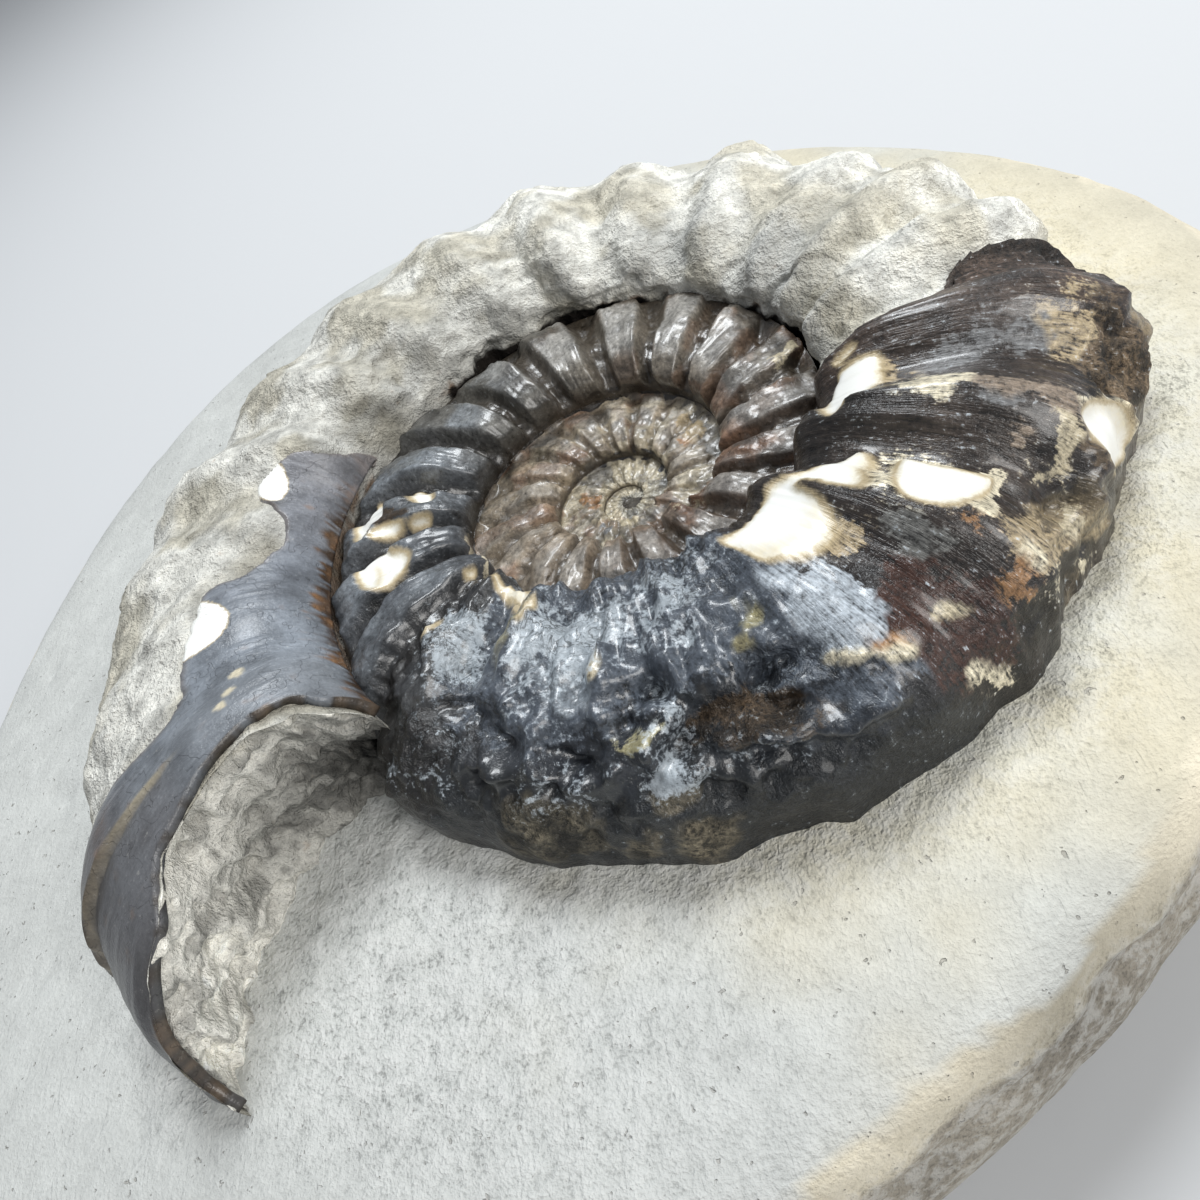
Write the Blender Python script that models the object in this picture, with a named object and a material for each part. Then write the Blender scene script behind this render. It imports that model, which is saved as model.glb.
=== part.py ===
"""An ammonite prepared out of half a limestone nodule, lying on the nodule's flat cut.

Four pieces: the limestone matrix with a shallow pocket, the dark calcite coil, the pale stone
cast of the body chamber that makes most of the last whorl, and the strip of outer shell that
is left on the cast at the mouth.

The coil is one spiral strip. An angle in degrees runs back along it from the mouth, so 360 is
one whorl further in. The share across a whorl runs from 0 at the seam on its inner side, over
the crest, to 1 at its outer edge. The outer edge of a whorl is the seam of the next one.
"""

import math

import bmesh
import bpy
from mathutils import Vector, noise

# Driving dimensions, in metres and degrees
MOUTH_RADIUS = 0.036  # spiral axis to the outer edge of the whorl at the mouth
SLAB_HEIGHT = 0.0164  # the nodule, from its flat cut to its top
SLAB_RADIUS = 0.0433  # mean radius of the nodule's outline
SLAB_SIDES = 72
SLAB_LOBES = ((2, 0.022, 0.013), (3, 0.041, -0.015))  # lobes of the outline, as shares of its radius
SLAB_SHOULDER = 0.022  # a low corner in the outline, on the +X side
SHOULDER_WIDTH = math.radians(10)
AXIS_PLACE = (0.0120, -0.0039)  # spiral axis from the middle of the nodule's outline
POCKET_DEPTH = 0.0020  # how far the fossil is let into the slab
GAP = 0.0003  # between neighbouring pieces
POCKET_CLEARANCE = 0.0005  # round the fossil, in the slab
SHELL_THICKNESS = 0.0005
SHELL_STANDING = 0.0004  # the shell's inner face, over the cast
WELD = 1e-6  # points nearer than this are one

# Growth of the spiral and the whorl's section, as shares of the whorl's own radius
GROWTH = 0.499
TIGHTENING = 0.0948  # extra loss of radius in the inner whorls
MOUTH_DIRECTION = 215.0  # compass direction of the mouth, counter-clockwise from +X
SEAM_SHARE = 0.501
CREST_SHARE = 0.69
CREST_HEIGHT = 0.2643
SEAM_HEIGHT = 0.1174
RAISED = 0.0207 * MOUTH_RADIUS  # the coil's middle plane, over the slab
CREST_ACROSS = 0.4
INNER_REACH_POWER, INNER_HEIGHT_POWER, OUTER_POWER = 0.75, 0.85, 0.9  # 1 is a plain quarter ellipse
HEART_HEIGHT = 0.4  # relief pushes out from a point inside the whorl, at this share of its height
TUCK_START, TUCK_END = 345.0, 351.0  # where a whorl passes under the next one
COIL_START = 218.0  # the dark coil runs from here inwards
CAST_END = 216.6  # the cast runs from the mouth to here
NUCLEUS = 1152.0

ROWS_PER_TURN = 90
COIL_COLUMNS = 8
CAST_COLUMNS = 10

# Swellings of the outer outline: angle, width, share of the radius
SWELLINGS = ((228.0, 13.0, 0.060), (275.0, 12.0, -0.015), (352.0, 6.0, 0.045))

# Worn, bulging and leaning places, as pairs of angle and share of the whorl's radius. The last
# one scales the height of the crest.
OUTLINE_SHIFT = (
    (80, 0.0), (88, 0.012), (98, 0.030), (104, 0.010), (110, 0.005), (116, 0.012), (122, 0.0), (126, -0.020),
    (131, 0.0), (140, -0.030), (176, -0.030), (184, -0.012), (192, 0.0), (200, -0.020), (205, -0.030),
    (210, -0.008), (221, -0.036), (226, -0.015), (230, -0.010), (235, -0.040), (240, -0.055), (243, -0.045),
    (248, -0.012), (252, -0.030), (256, -0.047), (259, -0.030), (262, 0.0), (267, 0.022), (272, 0.0),
    (290, 0.0), (294, -0.027), (299, -0.027), (305, -0.014), (312, -0.025), (322, -0.025), (328, -0.008),
    (332, 0.0),
)
SEAM_INWARD = (
    (60, 0.0), (85, 0.025), (200, 0.028), (225, 0.030), (240, 0.038), (255, 0.041), (273, 0.047),
    (300, 0.051), (335, 0.050), (359, 0.040), (372, 0.030), (395, 0.0), (600, 0.0), (650, 0.035),
    (710, 0.035), (760, 0.0),
)
OVERHANG = (
    (255, 0.0), (266, 0.018), (273, 0.027), (285, 0.038), (305, 0.045), (335, 0.036), (345, 0.028),
    (365, 0.020), (390, 0.0), (600, 0.0), (640, 0.030), (715, 0.025), (760, 0.0),
)
CREST_LIFT = ((125, 1.0), (142, 0.88), (180, 0.88), (205, 0.92), (222, 0.93), (240, 1.0))

# Ribs of the last whorl, one by one, and then at a regular step
LAST_WHORL_RIBS = (
    2, 20, 38, 56, 74, 91, 108, 126, 143.5, 162, 180, 193, 207, 226, 245, 263, 281, 297, 313, 329, 348,
    367, 385.5, 403, 421.5, 440, 458, 479, 502, 522, 542, 561.5, 581, 599, 616, 635,
)
INNER_RIB_STEP = 20.0
RIB_SLANT = 8.0  # degrees that a rib leans towards the mouth at its outer end
RIB_FADE_INNER, RIB_FADE_OUTER = 0.22, 0.16  # shares across over which a rib rises from the edges

# Rib height as a share of the radius: angle, share
RIB_STRENGTH = (
    (-20, 0.008), (30, 0.014), (60, 0.030), (110, 0.045), (215, 0.055), (262, 0.055),
    (280, 0.016), (330, 0.016), (365, 0.040), (450, 0.050), (2000, 0.050),
)

# Lumps of the weathered surface, in metres: angle, width, share across, width across, height
LUMP_SIZE = 0.0053
LUMP_HEIGHT = 0.0005
LUMP_FADE = 0.2
KNOBS = (
    (291.0, 9.0, 0.68, 0.05, 0.0009), (293.0, 7.0, 0.54, 0.06, -0.0010), (316.0, 6.0, 0.55, 0.08, 0.0006),
)

# The mouth's rim and the shell strip's outer edge, both as pairs of share across and angle
MOUTH_RIM = (
    (0.0, -7.0), (0.16, -6.0), (0.25, -3.5), (0.34, -2.0), (0.5, -4.0), (0.6, -8.0), (0.9, -9.5),
    (1.0, -12.0),
)
MOUTH_TIP = -12.0
SHELL_EDGE = (
    (-12, 0.97), (1, 0.97), (5, 0.84), (8, 0.62), (11, 0.47), (14, 0.41), (18, 0.40), (24, 0.38),
    (27, 0.37), (31, 0.29), (35, 0.24), (39, 0.22), (44, 0.26), (48, 0.31), (52, 0.31), (57, 0.27),
    (63, 0.24),
)
SHELL_INNER_SHARE = 0.10
SHELL_END = 63.0
SHELL_ROWS, SHELL_COLUMNS = 22, 9
POCKET_STEP = 3  # degrees between corners of the pocket
POCKET_REACH = (-2, 0, 2)  # degrees either side whose widest outline sets a corner
POCKET_MOUTH_SHARES = (0.15, 0.3, 0.45, 0.6, 0.75, 0.9, 1.0)
POCKET_LEAD = 1.8  # degrees that the pocket runs out in front of the mouth

# Turned profile of the nodule: share of its outline's radius, share of the mouth radius down
SLAB_PROFILE = (
    (0.0, 0.0), (0.45, 0.0), (0.80, 0.004), (0.90, 0.012), (0.955, 0.022), (0.985, 0.040),
    (1.0, 0.070), (1.012, 0.120), (1.006, 0.140), (1.020, 0.190), (1.025, 0.270),
    (1.015, 0.350), (0.975, 0.420), (0.910, 0.4556), (0.0, 0.4556),
)

LIMESTONE_COLOUR = (0.52, 0.51, 0.46)
CAST_COLOUR = (0.60, 0.58, 0.50)
CALCITE_COLOUR = (0.045, 0.042, 0.045)
SHELL_COLOUR = (0.17, 0.18, 0.20)
STONE_ROUGHNESS, CALCITE_ROUGHNESS, SHELL_ROUGHNESS = 0.88, 0.32, 0.38


def track(pairs, value):
    """Smooth interpolation through pairs of position and amount."""
    if value <= pairs[0][0]:
        return pairs[0][1]
    for (left, low), (right, high) in zip(pairs, pairs[1:]):
        if value <= right:
            share = (value - left) / (right - left)
            return low + (high - low) * share * share * (3 - 2 * share)
    return pairs[-1][1]


def bell(distance, width):
    return math.exp(-0.5 * (distance / width) ** 2)


def whorl_radius(angle):
    turns = angle / 360
    return MOUTH_RADIUS * math.exp(-GROWTH * turns - TIGHTENING * turns * turns)


def outline_radius(angle):
    swelling = sum(share * bell(angle - place, width) for place, width, share in SWELLINGS)
    return whorl_radius(angle) * (1 + swelling + track(OUTLINE_SHIFT, angle))


def seam(angle):
    """Radius and height of the line where a whorl rises from the one inside it."""
    radius = whorl_radius(angle)
    return (SEAM_SHARE - track(SEAM_INWARD, angle)) * radius, SEAM_HEIGHT * radius + RAISED


def outer_edge(angle):
    """Radius and height of a whorl's outer edge: free on the slab, then under the next whorl."""
    tucked = track(((TUCK_START, 0.0), (TUCK_END, 1.0)), angle)
    seam_radius, seam_height = seam(angle - 360)
    radius = outline_radius(angle) * (1 - tucked) + seam_radius * tucked
    return radius, seam_height * tucked


def rib_wave(angle):
    """1 on the crest of a rib and 0 in the groove."""
    ribs = LAST_WHORL_RIBS
    if angle >= ribs[-1]:
        offset = (angle - ribs[-1]) / INNER_RIB_STEP
    elif angle <= ribs[0]:
        offset = (angle - ribs[0]) / INNER_RIB_STEP
    else:
        after = next(i for i, rib in enumerate(ribs) if rib >= angle)
        offset = (angle - ribs[after - 1]) / (ribs[after] - ribs[after - 1])
    return 0.5 + 0.5 * math.cos(2 * math.pi * offset)


def rib_relief(angle, across):
    """How far the surface stands out at a rib or in at a groove, in metres."""
    wave = rib_wave(angle + RIB_SLANT * (across - CREST_ACROSS))
    fade = min(1.0, across / RIB_FADE_INNER) * min(1.0, (1 - across) / RIB_FADE_OUTER)
    return whorl_radius(angle) * track(RIB_STRENGTH, angle) * fade * (wave - 0.5)


def lumps(angle, across, place):
    """Swollen and broken relief of the weathered surface, in metres."""
    fade = min(1.0, across / LUMP_FADE) * min(1.0, (1 - across) / LUMP_FADE)
    height = noise.noise(place / LUMP_SIZE) * LUMP_HEIGHT
    for centre, length, middle, width, rise in KNOBS:
        height += rise * bell(angle - centre, length) * bell(across - middle, width)
    return fade * height


def section(angle, across):
    """Radius and height of the smooth whorl at a share across it."""
    radius = whorl_radius(angle)
    crest_radius = CREST_SHARE * radius
    crest_height = CREST_HEIGHT * radius * track(CREST_LIFT, angle) + RAISED
    if across < CREST_ACROSS:
        seam_radius, seam_height = seam(angle)
        sweep = across / CREST_ACROSS * math.pi / 2
        reach = crest_radius - (crest_radius - seam_radius) * math.cos(sweep) ** INNER_REACH_POWER
        reach -= track(OVERHANG, angle) * radius * math.sin(2 * sweep)
        return reach, seam_height + (crest_height - seam_height) * math.sin(sweep) ** INNER_HEIGHT_POWER
    edge_radius, edge_height = outer_edge(angle)
    full = max(outline_radius(angle), edge_radius) - crest_radius
    share = (across - CREST_ACROSS) / (1 - CREST_ACROSS)
    last_sweep = math.asin(min(1.0, (edge_radius - crest_radius) / full) ** (1 / OUTER_POWER))
    sweep = share * last_sweep
    rise = crest_height - RAISED
    height = RAISED + rise * max(0.0, math.cos(sweep)) ** OUTER_POWER
    end_height = RAISED + rise * max(0.0, math.cos(last_sweep)) ** OUTER_POWER
    reach = crest_radius + full * math.sin(sweep) ** OUTER_POWER
    return reach, height + (edge_height - end_height) * share**3


def whorl_point(angle, across, standing=0.0):
    """A point of the whorls' surface round the spiral axis, with the slab's top at height 0."""
    reach, height = section(angle, across)
    direction = math.radians(MOUTH_DIRECTION - angle)
    outward = Vector((math.cos(direction), math.sin(direction), 0))
    point = outward * reach + Vector((0, 0, height))
    heart = outward * CREST_SHARE * whorl_radius(angle) + Vector((0, 0, HEART_HEIGHT * height))
    relief = rib_relief(angle, across) + lumps(angle, across, point) + standing
    return point + (point - heart).normalized() * relief


def slab_radius(direction):
    wave = sum(
        even * math.cos(lobes * direction) + odd * math.sin(lobes * direction)
        for lobes, even, odd in SLAB_LOBES
    )
    return SLAB_RADIUS * (1 + wave + SLAB_SHOULDER * bell(direction, SHOULDER_WIDTH))


def slab_middle():
    """Middle of the nodule's outline, which the whole model is centred on."""
    steps = [2 * math.pi * step / SLAB_SIDES for step in range(SLAB_SIDES)]
    across = [slab_radius(step) * math.cos(step) for step in steps]
    along = [slab_radius(step) * math.sin(step) for step in steps]
    return Vector(((min(across) + max(across)) / 2, (min(along) + max(along)) / 2, 0))


def axis_place():
    """The spiral axis at the level of the slab's top, in the model's frame."""
    return Vector((*AXIS_PLACE, SLAB_HEIGHT)) - slab_middle()


def new_material(name, colour, roughness):
    material = bpy.data.materials.new(name)
    material.use_nodes = True
    shader = material.node_tree.nodes["Principled BSDF"]
    shader.inputs["Base Color"].default_value = (*colour, 1)
    shader.inputs["Roughness"].default_value = roughness
    shader.inputs["Metallic"].default_value = 0.0
    return material


def new_collection(name, hidden=False):
    collection = bpy.data.collections.new(name)
    bpy.context.scene.collection.children.link(collection)
    collection.hide_render = hidden
    return collection


def new_object(name, bm, collection, material=None):
    bmesh.ops.recalc_face_normals(bm, faces=bm.faces)
    mesh = bpy.data.meshes.new(name)
    bm.to_mesh(mesh)
    bm.free()
    obj = bpy.data.objects.new(name, mesh)
    collection.objects.link(obj)
    if material:
        mesh.materials.append(material)
        mesh.shade_smooth()
    return obj


def strip(rows, columns, place, thick=False):
    """A grid whose points go where place puts them, from shares 0 to 1 along and across.

    A thick strip is two such grids joined round their edges, told apart by a depth of 0 or 1.
    """
    bm = bmesh.new()
    bmesh.ops.create_grid(bm, x_segments=rows, y_segments=columns, size=0.5)
    if thick:
        raised = bmesh.ops.extrude_face_region(bm, geom=bm.faces[:])["geom"]
        for vert in (item for item in raised if isinstance(item, bmesh.types.BMVert)):
            vert.co.z = 1
    for vert in bm.verts:
        along = round((vert.co.x + 0.5) * rows) / rows
        across = round((vert.co.y + 0.5) * columns) / columns
        vert.co = place(along, across, vert.co.z)
    return bm


def boundary(bm):
    return [edge for edge in bm.edges if len(edge.link_faces) == 1]


def close_below(bm, floor):
    """Walls from the open edge straight down to a flat underside."""
    made = bmesh.ops.extrude_edge_only(bm, edges=boundary(bm))["geom"]
    for vert in (item for item in made if isinstance(item, bmesh.types.BMVert)):
        vert.co.z = floor
    bmesh.ops.contextual_create(bm, geom=boundary(bm))


def make_matrix(collection, cutters):
    bm = bmesh.new()
    rim = [bm.verts.new((share, 0, -depth * MOUTH_RADIUS)) for share, depth in SLAB_PROFILE]
    edges = [bm.edges.new(pair) for pair in zip(rim, rim[1:])]
    bmesh.ops.spin(bm, geom=rim + edges, cent=(0, 0, 0), axis=(0, 0, 1), angle=2 * math.pi,
                   steps=SLAB_SIDES, use_merge=True)
    bmesh.ops.remove_doubles(bm, verts=bm.verts, dist=WELD)
    middle = slab_middle()
    for vert in bm.verts:
        reach = slab_radius(math.atan2(vert.co.y, vert.co.x))
        vert.co = Vector((vert.co.x * reach, vert.co.y * reach, vert.co.z + SLAB_HEIGHT)) - middle
    stone = new_material("limestone", LIMESTONE_COLOUR, STONE_ROUGHNESS)
    matrix = new_object("limestone_matrix", bm, collection, stone)
    pocket = make_pocket_cutter(cutters)
    cut = matrix.modifiers.new("pocket", "BOOLEAN")
    cut.operation = "DIFFERENCE"
    cut.object = pocket
    return matrix


def plan_point(angle, radius):
    direction = math.radians(MOUTH_DIRECTION - angle)
    return Vector((radius * math.cos(direction), radius * math.sin(direction), 0))


def mouth_angle(across):
    return track(MOUTH_RIM, across)


def make_pocket_cutter(cutters):
    """The fossil's outline, a gap wider all round, as a block that cuts the pocket."""
    venter = []
    for angle in range(int(MOUTH_TIP), int(TUCK_END), POCKET_STEP):
        widest = max(outline_radius(angle + offset) for offset in POCKET_REACH)
        venter.append(plan_point(angle, widest + POCKET_CLEARANCE))
    face = []
    for across in POCKET_MOUTH_SHARES:
        point = whorl_point(mouth_angle(across) - POCKET_LEAD, across)
        face.append(Vector((point.x, point.y, 0)))
    bm = bmesh.new()
    outline = [bm.verts.new(point) for point in venter + face]
    floor = bm.faces.new(outline)
    raised = bmesh.ops.extrude_face_region(bm, geom=[floor])["geom"]
    for vert in bm.verts:
        vert.co.z = -POCKET_DEPTH
    for vert in (item for item in raised if isinstance(item, bmesh.types.BMVert)):
        vert.co.z = POCKET_DEPTH
    for vert in bm.verts:
        vert.co += axis_place()
    cutter = new_object("pocket_cutter", bm, cutters)
    cutter.hide_render = True
    cutter.display_type = "WIRE"
    return cutter


def make_coil(collection):
    rows = round((NUCLEUS - COIL_START) / 360 * ROWS_PER_TURN)

    def place(along, across, _):
        return whorl_point(COIL_START + (NUCLEUS - COIL_START) * along, across)

    bm = strip(rows, COIL_COLUMNS, place)
    bmesh.ops.remove_doubles(bm, verts=bm.verts, dist=WELD)
    eye = whorl_radius(NUCLEUS - 360)
    opening = [edge for edge in boundary(bm) if all(vert.co.xy.length < eye for vert in edge.verts)]
    lid = bmesh.ops.contextual_create(bm, geom=opening)["faces"]
    knob = bmesh.ops.poke(bm, faces=lid)["verts"][0]
    knob.co = Vector((0, 0, CREST_HEIGHT * whorl_radius(NUCLEUS - 90) + RAISED))
    close_below(bm, GAP - POCKET_DEPTH)
    bmesh.ops.translate(bm, verts=bm.verts, vec=axis_place())
    calcite = new_material("dark_calcite", CALCITE_COLOUR, CALCITE_ROUGHNESS)
    return new_object("calcite_coil", bm, collection, calcite)


def cast_point(angle, across, standing=0.0):
    """A point of the cast, whose inner side keeps clear of the whorl within."""
    point = whorl_point(angle, across, standing)
    outward = plan_point(angle, 1.0)
    return point + outward * GAP * max(0.0, 1 - across / CREST_ACROSS)


def make_cast(collection):
    rows = round(CAST_END / 360 * ROWS_PER_TURN)

    def place(along, across, _):
        start = mouth_angle(across)
        return cast_point(start + (CAST_END - start) * along, across)

    bm = strip(rows, CAST_COLUMNS, place)
    close_below(bm, GAP - POCKET_DEPTH)
    bmesh.ops.translate(bm, verts=bm.verts, vec=axis_place())
    stone = new_material("cream_limestone", CAST_COLOUR, STONE_ROUGHNESS)
    return new_object("body_chamber_cast", bm, collection, stone)


def make_mouth_shell(collection):
    def run(across, along):
        start = mouth_angle(across)
        return start + (SHELL_END - start) * along

    def place(along, share, depth):
        edge_angle = MOUTH_TIP + (SHELL_END - MOUTH_TIP) * along
        outer = track(SHELL_EDGE, edge_angle)
        across = SHELL_INNER_SHARE + (outer - SHELL_INNER_SHARE) * share
        bend = (edge_angle - run(outer, along)) * share**2
        return cast_point(run(across, along) + bend, across, SHELL_STANDING + SHELL_THICKNESS * depth)

    bm = strip(SHELL_ROWS, SHELL_COLUMNS, place, thick=True)
    bmesh.ops.translate(bm, verts=bm.verts, vec=axis_place())
    shell = new_material("grey_shell", SHELL_COLOUR, SHELL_ROUGHNESS)
    return new_object("mouth_shell", bm, collection, shell)


def main():
    for obj in list(bpy.data.objects):
        bpy.data.objects.remove(obj)
    parts = new_collection("ammonite_fossil")
    cutters = new_collection("cutters", hidden=True)
    make_matrix(parts, cutters)
    make_coil(parts)
    make_cast(parts)
    make_mouth_shell(parts)


main()
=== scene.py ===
"""Surfaces, finishes, light and camera for an ammonite prepared out of a limestone nodule.

The coil is a spiral strip. An angle in degrees runs back along it from the mouth, so 360 is
one whorl further in, and the share across a whorl runs from 0 at its inner seam, over the
crest, to 1 at its outer edge. Lengths are in metres.
"""

import functools
import math

import bmesh
import bpy
import numpy as np
from bpy.props import FloatProperty, FloatVectorProperty, PointerProperty
from mathutils import Euler, Matrix, Vector


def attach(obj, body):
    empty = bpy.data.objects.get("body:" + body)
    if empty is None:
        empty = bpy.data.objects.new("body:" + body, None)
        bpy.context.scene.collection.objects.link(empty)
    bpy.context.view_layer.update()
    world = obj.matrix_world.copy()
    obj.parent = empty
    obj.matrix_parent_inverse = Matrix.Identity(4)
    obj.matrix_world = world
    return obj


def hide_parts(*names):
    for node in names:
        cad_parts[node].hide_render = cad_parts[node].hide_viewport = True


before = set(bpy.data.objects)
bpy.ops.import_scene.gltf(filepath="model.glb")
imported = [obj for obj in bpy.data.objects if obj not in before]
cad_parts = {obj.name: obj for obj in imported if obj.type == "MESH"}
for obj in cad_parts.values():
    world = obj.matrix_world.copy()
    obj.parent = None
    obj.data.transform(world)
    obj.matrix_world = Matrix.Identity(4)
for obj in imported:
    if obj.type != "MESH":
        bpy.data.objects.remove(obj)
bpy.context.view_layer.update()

bl_info = {
    "name": "Ammonite in limestone",
    "version": (1, 0, 0),
    "blender": (4, 5, 0),
    "location": "View3D > Sidebar > Ammonite",
    "description": "Builds the detailed surfaces and finishes of an ammonite on its limestone nodule",
    "category": "Object",
}

MM = 0.001

# Places and sizes of the solid model that the surfaces follow
SLAB_TOP = 0.0164
AXIS = np.array((0.00982, -0.00436, SLAB_TOP))  # spiral axis at the level of the slab's top
SLAB_MIDDLE = np.array((0.00218, 0.00046, 0.0))  # what the slab's own middle is moved back by
SLAB_RADIUS = 0.0433
SLAB_LOBES = ((2, 0.022, 0.013), (3, 0.041, -0.015))
SLAB_SHOULDER = 0.022
SHOULDER_WIDTH = math.radians(10)
MOUTH_RADIUS = 0.036
GROWTH = 0.499
TIGHTENING = 0.0948
MOUTH_DIRECTION = 215.0
SEAM_SHARE = 0.501
CREST_SHARE = 0.69
CREST_HEIGHT = 0.2643
SEAM_HEIGHT = 0.1174
RAISED = 0.0207 * MOUTH_RADIUS
CREST_ACROSS = 0.4
SWELLINGS = ((228.0, 13.0, 0.060), (275.0, 12.0, -0.015), (352.0, 6.0, 0.045))
SUNK = -1.2 * MM  # undersides of the fossil's pieces, below the slab's top

# Departures from the even spiral, each an angle and a share of the whorl's radius
OUTLINE_SHIFT = (
    (80, 0.0), (88, 0.012), (98, 0.030), (104, 0.010), (110, 0.005), (116, 0.012), (122, 0.0), (126, -0.020),
    (131, 0.0), (140, -0.030), (176, -0.030), (184, -0.012), (192, 0.0), (200, -0.020), (205, -0.030),
    (210, -0.008), (221, -0.036), (226, -0.015), (230, -0.010), (235, -0.040), (240, -0.055), (243, -0.045),
    (248, -0.012), (252, -0.030), (256, -0.047), (259, -0.030), (262, 0.0), (267, 0.022), (272, 0.0),
    (290, 0.0), (294, -0.027), (299, -0.027), (305, -0.014), (312, -0.025), (322, -0.025), (328, -0.008),
    (332, 0.0),
)
CREST_LIFT = ((125, 1.0), (142, 0.88), (180, 0.88), (205, 0.92), (222, 0.93), (240, 1.0))
SEAM_INWARD = (
    (60, 0.0), (85, 0.025), (200, 0.028), (225, 0.03), (240, 0.038), (255, 0.041), (273, 0.047), (300, 0.051),
    (335, 0.05), (359, 0.04), (372, 0.03), (395, 0.0), (600, 0.0), (650, 0.035), (710, 0.035), (760, 0.0),
)
OVERHANG = (
    (255, 0.0), (266, 0.018), (273, 0.027), (285, 0.038), (305, 0.045), (335, 0.036), (345, 0.028),
    (365, 0.02), (390, 0.0), (600, 0.0), (640, 0.03), (715, 0.025), (760, 0.0),
)

# Angles of the coil's outer start, of the join of its two meshes and of its innermost point
COIL_START, COIL_JOIN, NUCLEUS = 202.4, 702.8, 1662.8

# Mesh density
OUTER_ROWS_PER_TURN, OUTER_COLUMNS = 660, 104
INNER_ROWS_PER_TURN, INNER_COLUMNS = 300, 48
CAST_ROWS, CAST_COLUMNS, FACE_ROWS = 450, 150, 80
SHELL_ROWS, SHELL_COLUMNS = 250, 150
SLAB_STEPS = 400

# Angles of the ribs' crests, and the ribs' height as a share of the whorl's radius
LAST_WHORL_RIBS = (
    2, 20, 38, 56, 74, 91, 108, 126, 143.5, 162, 180, 193, 207, 226, 245, 263, 281, 297, 313, 329, 348,
    367, 385.5, 403, 421.5, 440, 458, 479, 502, 522, 542, 561.5, 581, 599, 616, 635,
)
INNER_RIB_STEP = 20.0
RIB_SLANT = 8.0
RIB_STRENGTH = (
    (-20, 0.008), (30, 0.012), (60, 0.030), (85, 0.035), (100, 0.025), (120, 0.045), (190, 0.040),
    (215, 0.060), (262, 0.060), (276, 0.022), (330, 0.020), (345, 0.045), (365, 0.060), (420, 0.066),
    (700, 0.064), (900, 0.050), (1200, 0.034), (2000, 0.03),
)

# The rim of the broken face in the mouth, and the line where that face meets the slab
MOUTH_RIM = (
    (0.0, -7.0), (0.16, -6.0), (0.25, -3.5), (0.34, -2.0), (0.5, -4.0), (0.6, -8.0), (0.9, -9.5),
    (1.0, -12.0),
)
MOUTH_TOE = ((0.0, -6.0), (0.12, -1.0), (0.3, 2.5), (0.45, 2.0), (0.6, -2.0), (0.8, -7.0), (1.0, -11.5))
# Where the dark layer first lies on the cast, and where its first full rib starts
COIL_EDGE = (
    (0.0, 225.0), (0.19, 227.0), (0.25, 226.0), (0.34, 223.6), (0.41, 221.6), (0.45, 219.5), (0.47, 217.0),
    (0.49, 215.5), (0.53, 213.4), (0.58, 212.4), (0.66, 212.6), (0.74, 213.0), (0.80, 213.8), (0.86, 217.0),
    (0.92, 220.0), (1.0, 221.5),
)
FIRST_RIB_EDGE = (
    (0.0, 227.0), (0.19, 228.5), (0.25, 227.5), (0.34, 225.0), (0.39, 223.2), (0.43, 222.3), (0.50, 222.4),
    (0.58, 223.0), (0.66, 223.6), (0.75, 224.0), (1.0, 225.0),
)
SHELL_OUTLINE = (
    (-25, -0.2), (66, -0.2), (64.5, 0.05), (62.5, 0.085), (59.8, 0.12), (57.6, 0.17), (56.9, 0.2),
    (55.6, 0.25), (54, 0.28), (51.9, 0.3), (49.2, 0.33), (46.3, 0.3), (43.9, 0.25), (41.2, 0.21),
    (38.5, 0.195), (36.3, 0.19), (33.7, 0.2), (32.5, 0.22), (29.9, 0.26), (27.9, 0.29), (28.5, 0.34),
    (27.4, 0.38), (22.5, 0.37), (19.7, 0.38), (16.8, 0.39), (13.9, 0.4), (10, 0.4), (9, 0.42), (8, 0.45),
    (8.4, 0.5), (9.1, 0.55), (8.5, 0.57), (8.6, 0.61), (8.2, 0.71), (7.3, 0.73), (6, 0.8), (5.2, 0.88),
    (4, 1.2), (-25, 1.2),
)
SHELL_START = 0.035
SHELL_ROOT = 0.25 * MM  # how far the shell's inner face is let into the cast
SHELL_END = 66.0

# Outlines that are used twice
SEAM_SHELF = (
    (350, 0.238), (348.1, 0.235), (344.4, 0.228), (341.2, 0.217), (334, 0.245), (329.8, 0.266),
    (333.1, 0.269), (338.8, 0.259), (343.3, 0.245), (346.9, 0.249),
)
SEAM_SLIVER = (
    (330.6, 0.343), (330.2, 0.326), (328.9, 0.308), (328.4, 0.308), (328.9, 0.329), (329.8, 0.343),
)
TIP_RIM = ((256, 0.361), (255.1, 0.378), (259.8, 0.41), (262.5, 0.41), (262.4, 0.399))
SPOT_RIM = ((233, 0.329), (233.1, 0.357), (235, 0.371), (237.4, 0.371), (241.7, 0.371), (240.1, 0.35))
EDGE_RIM = (
    (242.5, 0.683), (238.4, 0.76), (237.9, 0.816), (238, 0.864), (237.8, 0.917), (238.9, 0.938),
    (239.9, 0.864), (239.5, 0.812), (242.5, 0.711),
)

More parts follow.
